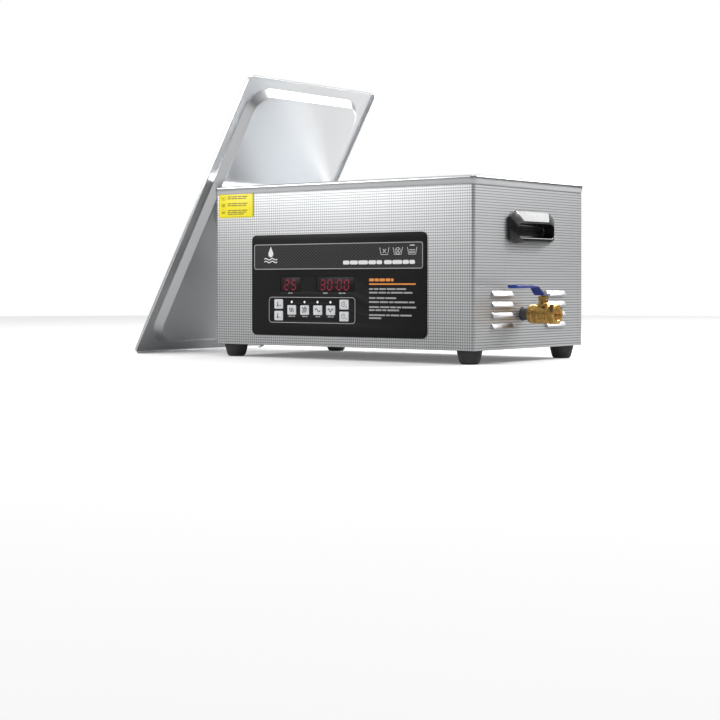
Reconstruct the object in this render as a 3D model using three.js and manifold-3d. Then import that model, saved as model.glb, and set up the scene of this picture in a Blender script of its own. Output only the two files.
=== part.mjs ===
// Bench ultrasonic cleaner of about 22 litres, with its loose lid leaning on the left of the case.
// Millimetres, +Z up, +Y to the back, the control panel facing -Y. The model is drawn from the
// front left bottom corner of the case, and moved at the end so that the origin is at the middle
// of the footprint of the whole resting object, on the surface that it stands on.
import * as THREE from 'three';
import { mergeVertices } from 'three/addons/utils/BufferGeometryUtils.js';
import Module from 'manifold-3d';

const wasm = await Module();
wasm.setup();

// ---- driving dimensions ----
const GAP = 0.3;
const CASE = { w: 525, d: 320, h: 258, sheet: 1.2, fold: 4, seam: 305 };
const TANK = { w: 500, d: 295, depth: 150, sheet: 1.5, corner: 26, floorR: 20, lipR: 3.5 };
const RIM = { top: 264.5, skirtBottom: 254, overhang: 2.5, bead: 4, corner: 8, sheet: 1.2 };
const FOOT = { h: 21, rTop: 19.5, rBottom: 15.5, edge: 3.5, inset: 25 };
const LID = {
  len: 538, wid: 342, lean: THREE.MathUtils.degToRad(59.8), front: -17.3, sheet: 1, lip: 5, bend: 1.5,
  corner: 10, flange: 19.5, sideFlange: 23, slope: 10.5, drop: 12, cornerOut: 45, cornerIn: 36, rest: 0.4,
};
const LID_HANDLE = { len: 120, w: 22, top: 24, bar: 12, foot: 22, screwR: 2.2 };
const PANEL = { x0: 84, x1: 438, z0: 17, z1: 181, r: 9, t: 2 };
const CONTROLS = { x0: 127, x1: 304, z0: 36, z1: 115 };
const KEY = { w: 18.5, h: 15.5, r: 1.6, proud: 0.6, lip: 1, lipT: 1, travel: 0.4, stemR: 3 };
const LIGHTS = { x: [170.3, 197.4, 224.5, 251], z: 71.5, r: 1.3 };
const BOARD = { y: 6, t: 1.6, margin: 11, postR: 3 };
const HANDLE = { midY: 157, midZ: 188.5, halfW: 64, halfH: 25.5, edge: 5.6, proud: 13.3, depth: 9.5 };
const POCKET = { halfW: 54, z0: 173, z1: 194.5, r: 10, wall: 1.5 };
const LOUVRE = { cols: [48, 205], len: 57, rows: [90, 73.4, 57, 40.6], h: 8.6, out: 4.2, sheet: 1.2 };
const VALVE = { y: 137, z: 54, x0: 539, split: 572, x1: 588, stemX: 562, bore: 7.5, ballR: 11 };
const LEVER = { w: 18, gripW: 13, t: 2.6, z0: 83, z1: 95.5, tip: 46, rampTop: 109, rampFoot: 124 };
const DRAIN = { x: 470, r: 8.5, pipeR: 10, bore: 6.5 };
const FAN = { x: 130, z: 62, size: 80, depth: 25, r: 37, blades: 7 };
const INLET = { x: 425, z: 60 };
const SWITCH = { x: 365, z: 60, halfW: 9.5, halfH: 7.2 };
const TRANSDUCER = { x: [65, 175, 285, 395], y: [85, 235], r: 22 };

const MID = { x: CASE.w / 2, y: CASE.d / 2 };
const tankFloor = RIM.top - TANK.depth;
const tankUnder = tankFloor - TANK.sheet;
const panelFront = -GAP - PANEL.t;
const caseBack = CASE.d - CASE.sheet;

const KEYS = [
  { name: 'key_temp_up', x: 142.6, z: 68 },
  { name: 'key_temp_down', x: 142.6, z: 49 },
  { name: 'key_heat', x: 170.5, z: 58.5 },
  { name: 'key_degas', x: 197.8, z: 58.5 },
  { name: 'key_wave', x: 225.1, z: 58.5 },
  { name: 'key_start', x: 251.6, z: 58.5 },
  { name: 'key_time_up', x: 279, z: 68 },
  { name: 'key_time_down', x: 279, z: 49 },
];
const WINDOWS = [
  { name: 'display_temp', x0: 146, x1: 188.5, z0: 88, z1: 112 },
  { name: 'display_time', x0: 222, x1: 300, z0: 88, z1: 112 },
];

// ---- materials ----
const mat = (color, roughness, metalness) => new THREE.MeshStandardMaterial({ color, roughness, metalness });
const LINEN_STEEL = mat(0xb9bbbd, 0.38, 1);
const POLISHED_STEEL = mat(0xd5d7d9, 0.14, 1);
const ZINC_STEEL = mat(0xa7abb0, 0.45, 1);
const BLACK_PANEL = mat(0x1c1c1e, 0.35, 0);
const BLACK_PLASTIC = mat(0x101012, 0.25, 0);
const BLACK_RUBBER = mat(0x1b1b1c, 0.8, 0);
const KEY_GREY = mat(0xc9cbcd, 0.5, 0);
const DISPLAY_RED = mat(0x3a0d14, 0.25, 0);
const LENS_WHITE = mat(0xe6e6e2, 0.3, 0);
const LABEL_YELLOW = mat(0xf0e21e, 0.5, 0);
const BRASS = mat(0xc79a4b, 0.3, 1);
const LEVER_BLUE = mat(0x173a9c, 0.4, 0);
const SEAT_WHITE = mat(0xeeeeea, 0.5, 0);
const BOARD_GREEN = mat(0x1f6b3a, 0.6, 0);
const HEATER_RED = mat(0x9a3a22, 0.7, 0);
const ALUMINIUM = mat(0xb4b7ba, 0.4, 1);

// ---- solids ----
// A closed three.js geometry becomes a solid that can be joined and cut.
function solid(geometry, flip = false) {
  const bare = geometry.clone();
  bare.deleteAttribute('normal');
  bare.deleteAttribute('uv');
  const merged = mergeVertices(bare, 1e-4);
  const corners = merged.index.array;
  const triangles = [];
  for (let i = 0; i < corners.length; i += 3) {
    const [a, b, c] = corners.slice(i, i + 3);
    if (a === b || b === c || a === c) continue;
    triangles.push(a, flip ? c : b, flip ? b : c);
  }
  const body = new wasm.Manifold(new wasm.Mesh({
    numProp: 3,
    vertProperties: new Float32Array(merged.attributes.position.array),
    triVerts: new Uint32Array(triangles),
  }));
  return body.volume() < 0 ? solid(geometry, !flip) : body;
}

function geometryOf(body) {
  const mesh = body.getMesh();
  const geometry = new THREE.BufferGeometry();
  geometry.setAttribute('position', new THREE.BufferAttribute(new Float32Array(mesh.vertProperties), 3));
  geometry.setIndex(new THREE.BufferAttribute(new Uint32Array(mesh.triVerts), 1));
  geometry.computeVertexNormals();
  return geometry;
}

const join = (...bodies) => bodies.reduce((a, b) => a.add(b));
const cut = (body, ...tools) => tools.reduce((a, b) => a.subtract(b), body);

// Turns what is drawn about or along +Z to run along the named axis.
const vector = (...v) => new THREE.Vector3(...v);
const AXES = {
  x: new THREE.Matrix4().makeBasis(vector(0, 1, 0), vector(0, 0, 1), vector(1, 0, 0)),
  y: new THREE.Matrix4().makeBasis(vector(0, 0, 1), vector(1, 0, 0), vector(0, 1, 0)),
  z: new THREE.Matrix4(),
};

// A solid turned about an axis. The profile lists [radius, distance along the axis], and it
// starts and ends on the axis or closes on itself.
function turned(axis, centre, profile, segments = 20) {
  const lathe = new THREE.LatheGeometry(profile.map(([r, s]) => new THREE.Vector2(r, s)), segments);
  lathe.rotateX(Math.PI / 2);
  lathe.applyMatrix4(AXES[axis]);
  lathe.translate(...centre);
  return solid(lathe);
}

const rod = (axis, centre, r, s0, s1, segments = 20) =>
  turned(axis, centre, [[0, s0], [r, s0], [r, s1], [0, s1]], segments);

const tube = (axis, centre, rIn, rOut, s0, s1, segments = 20) =>
  turned(axis, centre, [[rIn, s0], [rOut, s0], [rOut, s1], [rIn, s1], [rIn, s0]], segments);

// A hexagonal rod, given its size across the flats.
const hexagon = (axis, centre, flats, s0, s1) => rod(axis, centre, flats / Math.sqrt(3), s0, s1, 6);

function block(x0, x1, y0, y1, z0, z1) {
  const box = new THREE.BoxGeometry(x1 - x0, y1 - y0, z1 - z0);
  box.translate((x0 + x1) / 2, (y0 + y1) / 2, (z0 + z1) / 2);
  return solid(box);
}

// A rectangle outline with round corners, or with sharp ones where r is 0.
function rectangle(a0, a1, b0, b1, r = 0) {
  const shape = new THREE.Shape();
  if (r === 0) return shape.moveTo(a0, b0).lineTo(a1, b0).lineTo(a1, b1).lineTo(a0, b1);
  const quarter = Math.PI / 2;
  shape.moveTo(a0 + r, b0).lineTo(a1 - r, b0).absarc(a1 - r, b0 + r, r, -quarter, 0);
  shape.lineTo(a1, b1 - r).absarc(a1 - r, b1 - r, r, 0, quarter);
  shape.lineTo(a0 + r, b1).absarc(a0 + r, b1 - r, r, quarter, 2 * quarter);
  shape.lineTo(a0, b0 + r).absarc(a0 + r, b0 + r, r, 2 * quarter, 3 * quarter);
  return shape;
}

const outline = (points) => new THREE.Shape(points.map(([a, b]) => new THREE.Vector2(a, b)));

// Extrudes an outline between two places on an axis: x takes (y, z) outlines, y takes (z, x)
// outlines and z takes (x, y) outlines.
function extruded(axis, shape, from, to, curveSegments = 3) {
  const options = { depth: to - from, bevelEnabled: false, curveSegments };
  const geometry = new THREE.ExtrudeGeometry(shape, options);
  geometry.translate(0, 0, from);
  geometry.applyMatrix4(AXES[axis]);
  return solid(geometry);
}

// A round-cornered plate that faces the front, from its x, z and y ranges.
const upright = (x0, x1, z0, z1, y0, y1, r = 0, curve = 3) =>
  extruded('y', rectangle(z0, z1, x0, x1, r), y0, y1, curve);

// Skins loops of points in order, and closes the first and the last with flat faces.
function loft(loops) {
  const count = loops[0].length;
  const index = [];
  for (let i = 0; i < loops.length - 1; i++) {
    for (let k = 0; k < count; k++) {
      const a = i * count + k;
      const b = i * count + (k + 1) % count;
      index.push(a, b, b + count, a, b + count, a + count);
    }
  }
  const last = (loops.length - 1) * count;
  for (let k = 1; k < count - 1; k++) {
    index.push(0, k + 1, k);
    index.push(last, last + k, last + k + 1);
  }
  const geometry = new THREE.BufferGeometry();
  geometry.setAttribute('position', new THREE.Float32BufferAttribute(loops.flat(2), 3));
  geometry.setIndex(index);
  return solid(geometry);
}

// One level loop of a rounded rectangle about a centre, from its half sizes and corner radius.
function ring([cx, cy], { hw, hd, r, z }, perCorner) {
  const points = [];
  for (let corner = 0; corner < 4; corner++) {
    const sx = corner === 0 || corner === 3 ? 1 : -1;
    const sy = corner < 2 ? 1 : -1;
    for (let k = 0; k <= perCorner; k++) {
      const angle = (corner + k / perCorner) * Math.PI / 2;
      points.push([
        cx + sx * (hw - r) + r * Math.cos(angle),
        cy + sy * (hd - r) + r * Math.sin(angle),
        z,
      ]);
    }
  }
  return points;
}

// Angles that step through a quarter turn, both ends included.
const quarterTurn = (steps) => Array.from({ length: steps + 1 }, (_, k) => (k / steps) * Math.PI / 2);

// ---- the scene graph ----
const machine = new THREE.Group();

function piece(name, body, material, parent = machine) {
  const mesh = new THREE.Mesh(geometryOf(body), material);
  mesh.name = name;
  parent.add(mesh);
}

// ---- tank: a pressed tub whose flange rolls over the case and turns down as a skirt ----
function tankBody() {
  const t = TANK.sheet;
  const outer = { hw: TANK.w / 2 + t, hd: TANK.d / 2 + t };
  const inner = { hw: TANK.w / 2, hd: TANK.d / 2 };
  const skirt = { hw: MID.x + RIM.overhang, hd: MID.y + RIM.overhang };
  const inset = (size, by, r, z) => ({ hw: size.hw - by, hd: size.hd - by, r, z });
  const outerR = TANK.floorR + t;
  const rings = [];
  for (const a of quarterTurn(3)) {
    const by = outerR * (1 - Math.sin(a));
    rings.push(inset(outer, by, TANK.corner + t - by, tankUnder + outerR * (1 - Math.cos(a))));
  }
  rings.push(inset(outer, 0, TANK.corner + t, RIM.top - RIM.sheet));
  rings.push(inset(skirt, RIM.sheet, RIM.corner - RIM.sheet, RIM.top - RIM.sheet));
  rings.push(inset(skirt, RIM.sheet, RIM.corner - RIM.sheet, RIM.skirtBottom));
  rings.push(inset(skirt, 0, RIM.corner, RIM.skirtBottom));
  for (const a of quarterTurn(3)) {
    const by = RIM.bead * (1 - Math.cos(a));
    rings.push(inset(skirt, by, RIM.corner - by, RIM.top - RIM.bead * (1 - Math.sin(a))));
  }
  for (const a of quarterTurn(2)) {
    const by = TANK.lipR * (1 - Math.sin(a));
    rings.push(inset(inner, -by, TANK.corner + by, RIM.top - TANK.lipR * (1 - Math.cos(a))));
  }
  for (const a of quarterTurn(3)) {
    const by = TANK.floorR * (1 - Math.cos(a));
    rings.push(inset(inner, by, TANK.corner - by, tankFloor + TANK.floorR * (1 - Math.sin(a))));
  }
  const tub = loft(rings.map((size) => ring([MID.x, MID.y], size, 4)));
  return cut(tub, rod('z', [DRAIN.x, VALVE.y, 0], DRAIN.r + 0.5, tankUnder - 1, tankFloor + 1));
}

// ---- case sheets ----
// The case is a sleeve of two folded sheets: the wrap is the front and both sides, and the rear
// panel is folded forwards a little at its two corners. y0 and y1 say how much of the sleeve to keep.
function sleeve(y0, y1) {
  const { w, d, h, sheet, fold } = CASE;
  const outside = extruded('z', rectangle(0, w, 0, d, fold), 0, h);
  const inside = extruded('z', rectangle(sheet, w - sheet, sheet, d - sheet, fold - sheet), -1, h + 1);
  return cut(outside, inside).intersect(block(-1, w + 1, y0, y1, -1, h + 1));
}

function caseWrap() {
  const { w, sheet, seam } = CASE;
  const controls = block(CONTROLS.x0, CONTROLS.x1, -1, sheet + 1, CONTROLS.z0, CONTROLS.z1);
  const louvres = LOUVRE.cols.flatMap((y) => LOUVRE.rows.map((top) => louvre(y, top)));
  const raised = join(sleeve(-1, seam), ...louvres.map(({ hood }) => hood));
  return cut(raised, controls, handleHoles(), ...louvres.map(({ hollow }) => hollow),
    rod('x', [0, VALVE.y, VALVE.z], DRAIN.pipeR + 1, w - 3, w + 1));
}

function rearPanel() {
  const { d, seam } = CASE;
  const [y0, y1] = [d - 3, d + 1];
  return cut(sleeve(seam + GAP, d + 1),
    rod('y', [FAN.x, 0, FAN.z], FAN.r, y0, y1),
    block(INLET.x - 14, INLET.x + 14, y0, y1, INLET.z - 11, INLET.z + 11),
    block(SWITCH.x - 12, SWITCH.x + 12, y0, y1, SWITCH.z - 9.5, SWITCH.z + 9.5));
}

// Both side walls open behind their handle for its finger cup.
function handleHoles() {
  const room = POCKET.wall + 1;
  const [y0, y1] = [HANDLE.midY - POCKET.halfW - room, HANDLE.midY + POCKET.halfW + room];
  const shape = rectangle(y0, y1, POCKET.z0 - room, POCKET.z1 + room, POCKET.r + room);
  return extruded('x', shape, -5, CASE.w + 5);
}

// A prism along Y from an outline of [x, z] points.
const prismY = (points, y0, y1) => extruded('y', outline(points.map(([x, z]) => [z, x])), y0, y1);

// One pressed louvre: a sloping hood with closed ends that opens downwards.
function louvre(y, top) {
  const { h, out, sheet, len } = LOUVRE;
  const behind = -3 * sheet;
  const hood = prismY([[-sheet, 0], [0, 0], [out, sheet - h], [out, -h], [-sheet, -h]], y, y + len);
  const hollow = prismY(
    [[behind, -2], [0, -2], [out - sheet, 0.8 - h], [out - sheet, -h - 1], [behind, -h - 1]],
    y + sheet, y + len - sheet);
  const place = [CASE.w, 0, top];
  return { hood: hood.translate(place), hollow: hollow.translate(place) };
}

function basePlate() {
  const edge = CASE.sheet + GAP;
  const plate = rectangle(edge, CASE.w - edge, edge, CASE.d - edge, CASE.fold);
  return extruded('z', plate, GAP, GAP + CASE.sheet);
}

function foot(x, y) {
  const { h, rTop, rBottom, edge } = FOOT;
  const low = edge - h;
  const profile = [[0, 0], [rTop, 0], [rTop, -2], [rBottom, low], [rBottom - edge, -h], [0, -h]];
  return turned('z', [x, y, 0], profile);
}

// ---- carrying handles: an eight-sided bezel with a finger cup behind it ----
// side is +1 on the right of the case and -1 on the left.
function handle(side) {
  const wall = side > 0 ? CASE.w : 0;
  const octagon = (out, halfW, z0, z1, chamfer) => [
    [-halfW, z0 + 6], [14 - halfW, z0], [halfW - 14, z0], [halfW, z0 + 6],
    [halfW, z1 - chamfer], [halfW - 1.6 * chamfer, z1], [1.6 * chamfer - halfW, z1], [-halfW, z1 - chamfer],
  ].map(([y, z]) => [wall + side * out, HANDLE.midY + y, z]);
  const { midZ, halfW, halfH, edge, proud, depth } = HANDLE;
  const [low, high] = [midZ - halfH, midZ + halfH];
  const bezel = loft([
    octagon(GAP, halfW, low, high, 10),
    octagon(edge, halfW, low, high, 10),
    octagon(proud, halfW - 12, low + 2, high - 16, 10),
  ]);
  const cup = handlePocket(POCKET.wall, wall, side, -depth, GAP + 1);
  const hollow = handlePocket(0, wall, side, POCKET.wall - depth, proud + 1);
  return cut(join(bezel, cup), hollow);
}

function handlePocket(grow, wall, side, out0, out1) {
  const { halfW, z0, z1, r } = POCKET;
  const [y0, y1] = [HANDLE.midY - halfW - grow, HANDLE.midY + halfW + grow];
  const shape = rectangle(y0, y1, z0 - grow, z1 + grow, r + grow);
  const [a, b] = [wall + side * out0, wall + side * out1];
  return extruded('x', shape, Math.min(a, b), Math.max(a, b));
}

// ---- control panel and what is behind it ----
function controlPanel() {
  const plate = upright(PANEL.x0, PANEL.x1, PANEL.z0, PANEL.z1, panelFront, -GAP, PANEL.r);
  const [y0, y1] = [panelFront - 1, 1];
  const keyHoles = KEYS.map(({ x, z }) => {
    const [hw, hh] = [KEY.w / 2 + GAP, KEY.h / 2 + GAP];
    return upright(x - hw, x + hw, z - hh, z + hh, y0, y1, KEY.r + GAP, 2);
  });
  const windows = WINDOWS.map(({ x0, x1, z0, z1 }) => upright(x0, x1, z0, z1, y0, y1));
  const lights = LIGHTS.x.map((x) => rod('y', [x, 0, LIGHTS.z], LIGHTS.r + GAP, y0, y1, 8));
  return cut(plate, ...keyHoles, ...windows, ...lights);
}

// A key has a round-cornered cap, a lip that keeps it behind the panel and a short stem.
function key({ x, z }) {
  const cap = (grow, y0, y1) => {
    const [hw, hh] = [KEY.w / 2 + grow, KEY.h / 2 + grow];
    return upright(x - hw, x + hw, z - hh, z + hh, y0, y1, KEY.r, 2);
  };
  const stem = rod('y', [x, 0, z], KEY.stemR, KEY.lipT - 0.1, BOARD.y - 2.7, 8);
  return join(cap(0, panelFront - KEY.proud, KEY.lipT), cap(KEY.lip, 0, KEY.lipT), stem);
}

function display({ x0, x1, z0, z1 }) {
  const room = 0.5;
  return upright(x0 + room, x1 - room, z0 + room, z1 - room, panelFront + 0.4, BOARD.y - 0.4);
}

function indicatorStrip() {
  const [first, last] = [LIGHTS.x[0], LIGHTS.x[LIGHTS.x.length - 1]];
  const bar = block(first - 6, last + 6, 1.6, 4, LIGHTS.z - 1.8, LIGHTS.z + 1.8);
  return join(bar, ...LIGHTS.x.map((x) => rod('y', [x, 0, LIGHTS.z], LIGHTS.r, panelFront - 0.2, 2, 8)));
}

function controlBoard() {
  const [x0, x1] = [CONTROLS.x0 - BOARD.margin, CONTROLS.x1 + BOARD.margin];
  const [z0, z1] = [CONTROLS.z0 - 6, CONTROLS.z1 + 6];
  const board = block(x0, x1, BOARD.y, BOARD.y + BOARD.t, z0, z1);
  const switches = KEYS.map(({ x, z }) => rod('y', [x, 0, z], KEY.stemR, BOARD.y - 2, BOARD.y + 0.1, 8));
  const posts = [x0 + 5, x1 - 5].flatMap((x) => [z0 + 15, z1 - 15].map((z) =>
    rod('y', [x, 0, z], BOARD.postR, CASE.sheet + GAP, BOARD.y + 0.1, 8)));
  return join(board, ...switches, ...posts);
}

const labelPlate = () => upright(8, 85.5, 211.5, 253, -GAP - 0.4, -GAP, 3.5);

// ---- drain and ball valve ----
function drainPipe() {
  const { x, r, pipeR, bore } = DRAIN;
  const down = [x, VALVE.y, 0];
  const along = [0, VALVE.y, VALVE.z];
  const pipe = join(
    rod('z', down, 14, tankFloor + GAP, tankFloor + GAP + 2),
    rod('z', down, r, VALVE.z, tankFloor + GAP + 1),
    rod('x', along, pipeR, x - pipeR, VALVE.x0 + 7));
  return cut(pipe, rod('z', down, bore, VALVE.z, tankFloor + 4),
    rod('x', along, bore, x - bore, VALVE.x0 + 8));
}

const drainNut = () => cut(
  hexagon('z', [DRAIN.x, VALVE.y, 0], 27, tankUnder - 9, tankUnder - GAP),
  rod('z', [DRAIN.x, VALVE.y, 0], DRAIN.r + 0.4, tankUnder - 10, tankUnder));

function valveBody() {
  const { x0, split, y, z, stemX, bore } = VALVE;
  const axis = [0, y, z];
  const stem = [stemX, y, z];
  const shell = turned('x', axis, [
    [0, x0], [12.8, x0], [14.2, x0 + 1.2], [14.2, x0 + 4], [13, x0 + 5], [13, x0 + 6.5],
    [15, x0 + 9], [15.4, stemX - 8], [15.4, stemX + 5], [15, split - 1.2], [14.2, split], [0, split],
  ]);
  const neck = turned('z', stem, [[0, 8], [9.4, 8], [9.4, 15], [7.8, 18], [7.8, 22], [0, 22]], 20);
  return cut(join(shell, neck),
    rod('x', axis, DRAIN.pipeR + 0.4, x0 - 1, x0 + 8),
    rod('x', axis, bore, x0, split),
    rod('x', axis, 13, stemX - 13.8, split + 1),
    rod('z', stem, 4.4, 0, 23, 16));
}

function valveEndCap() {
  const { split, x1, y, z, stemX, bore } = VALVE;
  const axis = [0, y, z];
  const shell = turned('x', axis, [
    [0, split + GAP], [14.8, split + GAP], [15.2, split + 1.5], [15.2, split + 3], [13.6, split + 4.5],
    [13.6, x1 - 9], [0, x1 - 9],
  ]);
  const flats = hexagon('x', axis, 30, x1 - 11, x1 - 1);
  const crown = rod('x', axis, 14.6, x1 - 2, x1);
  return cut(join(shell, flats, crown),
    rod('x', axis, 12.8, split - 1, stemX + 13.8),
    rod('x', axis, bore, split, x1),
    rod('x', axis, 10, x1 - 10, x1 + 1));
}

const seat = (x0, x1) => tube('x', [0, VALVE.y, VALVE.z], VALVE.bore, 12.4, x0, x1);

function ball() {
  const { stemX, y, z, ballR, bore } = VALVE;
  const sphere = new THREE.SphereGeometry(ballR, 20, 12);
  sphere.translate(stemX, y, z);
  return cut(solid(sphere), rod('y', [stemX, 0, z], bore - 0.5, y - 12, y + 12));
}

const stemPoint = [VALVE.stemX, VALVE.y, 0];

const valveStem = () => join(
  rod('z', stemPoint, 4, VALVE.z + VALVE.ballR + GAP, 91, 16),
  rod('z', stemPoint, 5, 82.6 - GAP - 0.2, 82.6, 16));

const nutAroundStem = (flats, z0, z1, bore) => cut(
  hexagon('z', stemPoint, flats, z0, z1),
  rod('z', stemPoint, bore, z0 - 1, z1 + 1, 16));

// The lever is a strip that leaves the stem level, climbs, and runs on level as the grip.
function valveLever() {
  const { w, gripW, t, z0, z1, tip, rampTop, rampFoot } = LEVER;
  const x = VALVE.stemX;
  const root = outline([
    [VALVE.y + 9, z0], [VALVE.y + 9, z0 + t], [rampFoot + 1, z0 + t], [rampTop + 1, z1 + t],
    [rampTop - 8, z1 + t], [rampTop - 8, z1], [rampTop, z1], [rampFoot, z0],
  ]);
  const grip = block(x - gripW / 2, x + gripW / 2, tip, rampTop - 7, z1, z1 + t);
  const lever = join(extruded('x', root, x - w / 2, x + w / 2), grip);
  return cut(lever, rod('z', stemPoint, 4.4, z0 - 1, z0 + t + 1, 16));
}

function leverSleeve() {
  const { gripW, t, z1, tip, rampTop } = LEVER;
  const x = VALVE.stemX;
  const layer = (grow, y0, y1, r) =>
    upright(x - gripW / 2 - grow, x + gripW / 2 + grow, z1 - grow, z1 + t + grow, y0, y1, r);
  const cover = layer(2.2, tip - 2, rampTop - 10, 3);
  return cut(cover, layer(GAP, tip - GAP, rampTop, 0));
}

// ---- under the tank ----
function transducer(x, y) {
  const top = tankUnder - GAP;
  const profile = [
    [0, top], [TRANSDUCER.r, top], [TRANSDUCER.r, top - 4], [18, top - 17], [17, top - 28],
    [18, top - 28], [18, top - 50], [5, top - 50], [5, top - 56], [0, top - 56],
  ];
  return turned('z', [x, y, 0], profile, 12);
}

function generatorBoard() {
  const z = 9;
  const board = block(180, 400, 50, 250, z, z + 1.6);
  const posts = [190, 390].flatMap((x) => [60, 240].map((y) =>
    rod('z', [x, y, 0], 4, GAP + CASE.sheet + GAP, z + 0.1, 10)));
  const sinks = [65, 100].map((y) => block(200, 290, y, y + 14, z, z + 34));
  const coil = rod('z', [340, 90, 0], 20, z, z + 26, 20);
  const cans = [320, 350, 380].map((x) => rod('z', [x, 205, 0], 10, z, z + 30, 14));
  const relays = [200, 235, 270].map((x) => block(x, x + 22, 190, 215, z, z + 18));
  return join(board, ...posts, ...sinks, coil, ...cans, ...relays);
}

// Silicone pads bonded to the long walls of the tub.
function heaterPad(wallY, side) {
  const near = wallY + side * GAP;
  const far = wallY + side * (GAP + 2);
  return upright(90, 430, 150, 225, Math.min(near, far), Math.max(near, far), 6);
}

const temperatureSensor = () => join(
  rod('z', [165, MID.y, 0], 9, tankUnder - GAP - 2, tankUnder - GAP, 16),
  rod('z', [165, MID.y, 0], 4, tankUnder - 14, tankUnder - 1, 16));

// ---- cooling fan ----
function fanFrame() {
  const { x, z, size, depth, r } = FAN;
  const y1 = caseBack - GAP;
  const y0 = y1 - depth;
  const centre = [x, 0, z];
  const square = upright(x - size / 2, x + size / 2, z - size / 2, z + size / 2, y0, y1, 5);
  const open = cut(square, rod('y', centre, r, y0 - 1, y1 + 1));
  const reach = r + 1;
  const arms = [
    block(x - reach, x + reach, y0, y0 + 3, z - 2.5, z + 2.5),
    block(x - 2.5, x + 2.5, y0, y0 + 3, z - reach, z + reach),
  ];
  const boss = rod('y', centre, 15, y0, y0 + 3);
  return cut(join(open, ...arms, boss), rod('y', centre, 2, y0 - 1, y0 + 4, 12));
}

function fanRotor() {
  const y0 = caseBack - GAP - FAN.depth + 4;
  const centre = [FAN.x, 0, FAN.z];
  const hub = join(rod('y', centre, 16, y0, y0 + 17), rod('y', centre, 1.6, y0 - 3.5, y0 + 1, 12));
  const blades = Array.from({ length: FAN.blades }, (_, k) => {
    const blade = new THREE.BoxGeometry(21, 2, 18);
    blade.rotateX(THREE.MathUtils.degToRad(52));
    blade.translate(24.5, y0 + 8.5, 0);
    blade.rotateY((k / FAN.blades) * Math.PI * 2);
    blade.translate(FAN.x, 0, FAN.z);
    return solid(blade);
  });
  return join(hub, ...blades);
}

function fanGuard() {
  const { x, z } = FAN;
  const [y0, y1] = [CASE.d + GAP, CASE.d + GAP + 2];
  const centre = [x, 0, z];
  const hoops = [36, 26, 16].map((r) => tube('y', centre, r, r + 2, y0, y1, 16));
  const cap = rod('y', centre, 8, y0, y1, 12);
  const spokes = [45, 135].map((degrees) => {
    const bar = new THREE.BoxGeometry(98, y1 - y0, 2);
    bar.rotateY(THREE.MathUtils.degToRad(degrees));
    bar.translate(x, (y0 + y1) / 2, z);
    return solid(bar);
  });
  return join(...hoops, cap, ...spokes);
}

// ---- mains inlet and power switch on the back ----
function powerInlet() {
  const { x, z } = INLET;
  const flange = upright(x - 25, x + 25, z - 13, z + 13, CASE.d + GAP, CASE.d + GAP + 2.5, 3);
  const shell = block(x - 13, x + 13, CASE.d - 20, CASE.d + 1, z - 10, z + 10);
  const well = block(x - 11, x + 11, CASE.d - 17, CASE.d + 4, z - 8, z + 8);
  const pin = (px, pz) => block(x + px - 1, x + px + 1, CASE.d - 18, CASE.d - 1, z + pz - 2, z + pz + 2);
  return join(cut(join(flange, shell), well), pin(-7, -2), pin(7, -2), pin(0, 2));
}

function switchHousing() {
  const { x, z, halfW, halfH } = SWITCH;
  const flange = upright(x - 14, x + 14, z - 11.5, z + 11.5, CASE.d + GAP, CASE.d + GAP + 1.6, 2);
  const shell = block(x - halfW - 1.5, x + halfW + 1.5, CASE.d - 18, CASE.d + 1, z - 9, z + 9);
  const well = block(x - halfW, x + halfW, CASE.d - 16, CASE.d + 3, z - halfH, z + halfH);
  return cut(join(flange, shell), well);
}

// The rocker is a wide V over a round back, tilted to its off side at rest.
function switchRocker() {
  const { x, z, halfW } = SWITCH;
  const half = 5.6;
  const side = outline([
    [-2.6, 2.4], [-half, 2.4], [-half, 4.6], [0, 3.8], [half, 4.6], [half, 2.4],
    [2.6, 2.4], [2.6, -3], [-2.6, -3],
  ]);
  const options = { depth: 2 * halfW - 0.8, bevelEnabled: false };
  const rocker = new THREE.ExtrudeGeometry(side, options);
  rocker.translate(0, 0, 0.4 - halfW);
  rocker.applyMatrix4(new THREE.Matrix4().makeBasis(vector(0, 0, 1), vector(0, 1, 0), vector(-1, 0, 0)));
  rocker.rotateX(THREE.MathUtils.degToRad(7));
  rocker.translate(x, CASE.d - 1, z);
  return solid(rocker);
}

// ---- lid: a flat pan with a turned lip, whose centre is pressed down to sit in the tank ----
// Drawn flat, underside down, with its lower edge on x = 0 and its front edge on y = 0.
function lidBody() {
  const { len, wid, sheet, lip, bend, corner, flange, sideFlange, slope, drop, cornerOut, cornerIn } = LID;
  const wider = (by) => (sideFlange - flange) * Math.min(1, by / flange);
  const size = (by, r, z) => ({ hw: len / 2 - by, hd: wid / 2 - by - wider(by), r, z });
  const rings = [size(flange + slope, cornerIn, sheet - drop), size(flange, cornerOut, sheet)];
  for (const a of quarterTurn(2)) {
    const by = bend * (1 - Math.sin(a));
    rings.push(size(by, corner - by, sheet - bend * (1 - Math.cos(a))));
  }
  rings.push(size(0, corner, -lip));
  rings.push(size(sheet, corner - sheet, -lip));
  rings.push(size(sheet, corner - sheet, 0));
  rings.push(size(flange, cornerOut, 0));
  rings.push(size(flange + slope, cornerIn, -drop));
  const pan = loft(rings.map((r) => ring([len / 2, wid / 2], r, 6)));
  const holes = lidScrewSpots().map((spot) => rod('z', spot, LID_HANDLE.screwR + 0.4, -20, 5, 12));
  return cut(pan, ...holes);
}

function lidScrewSpots() {
  const apart = LID_HANDLE.len / 2 - LID_HANDLE.foot / 2;
  return [-apart, apart].map((along) => [LID.len / 2 + along, LID.wid / 2, 0]);
}

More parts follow.
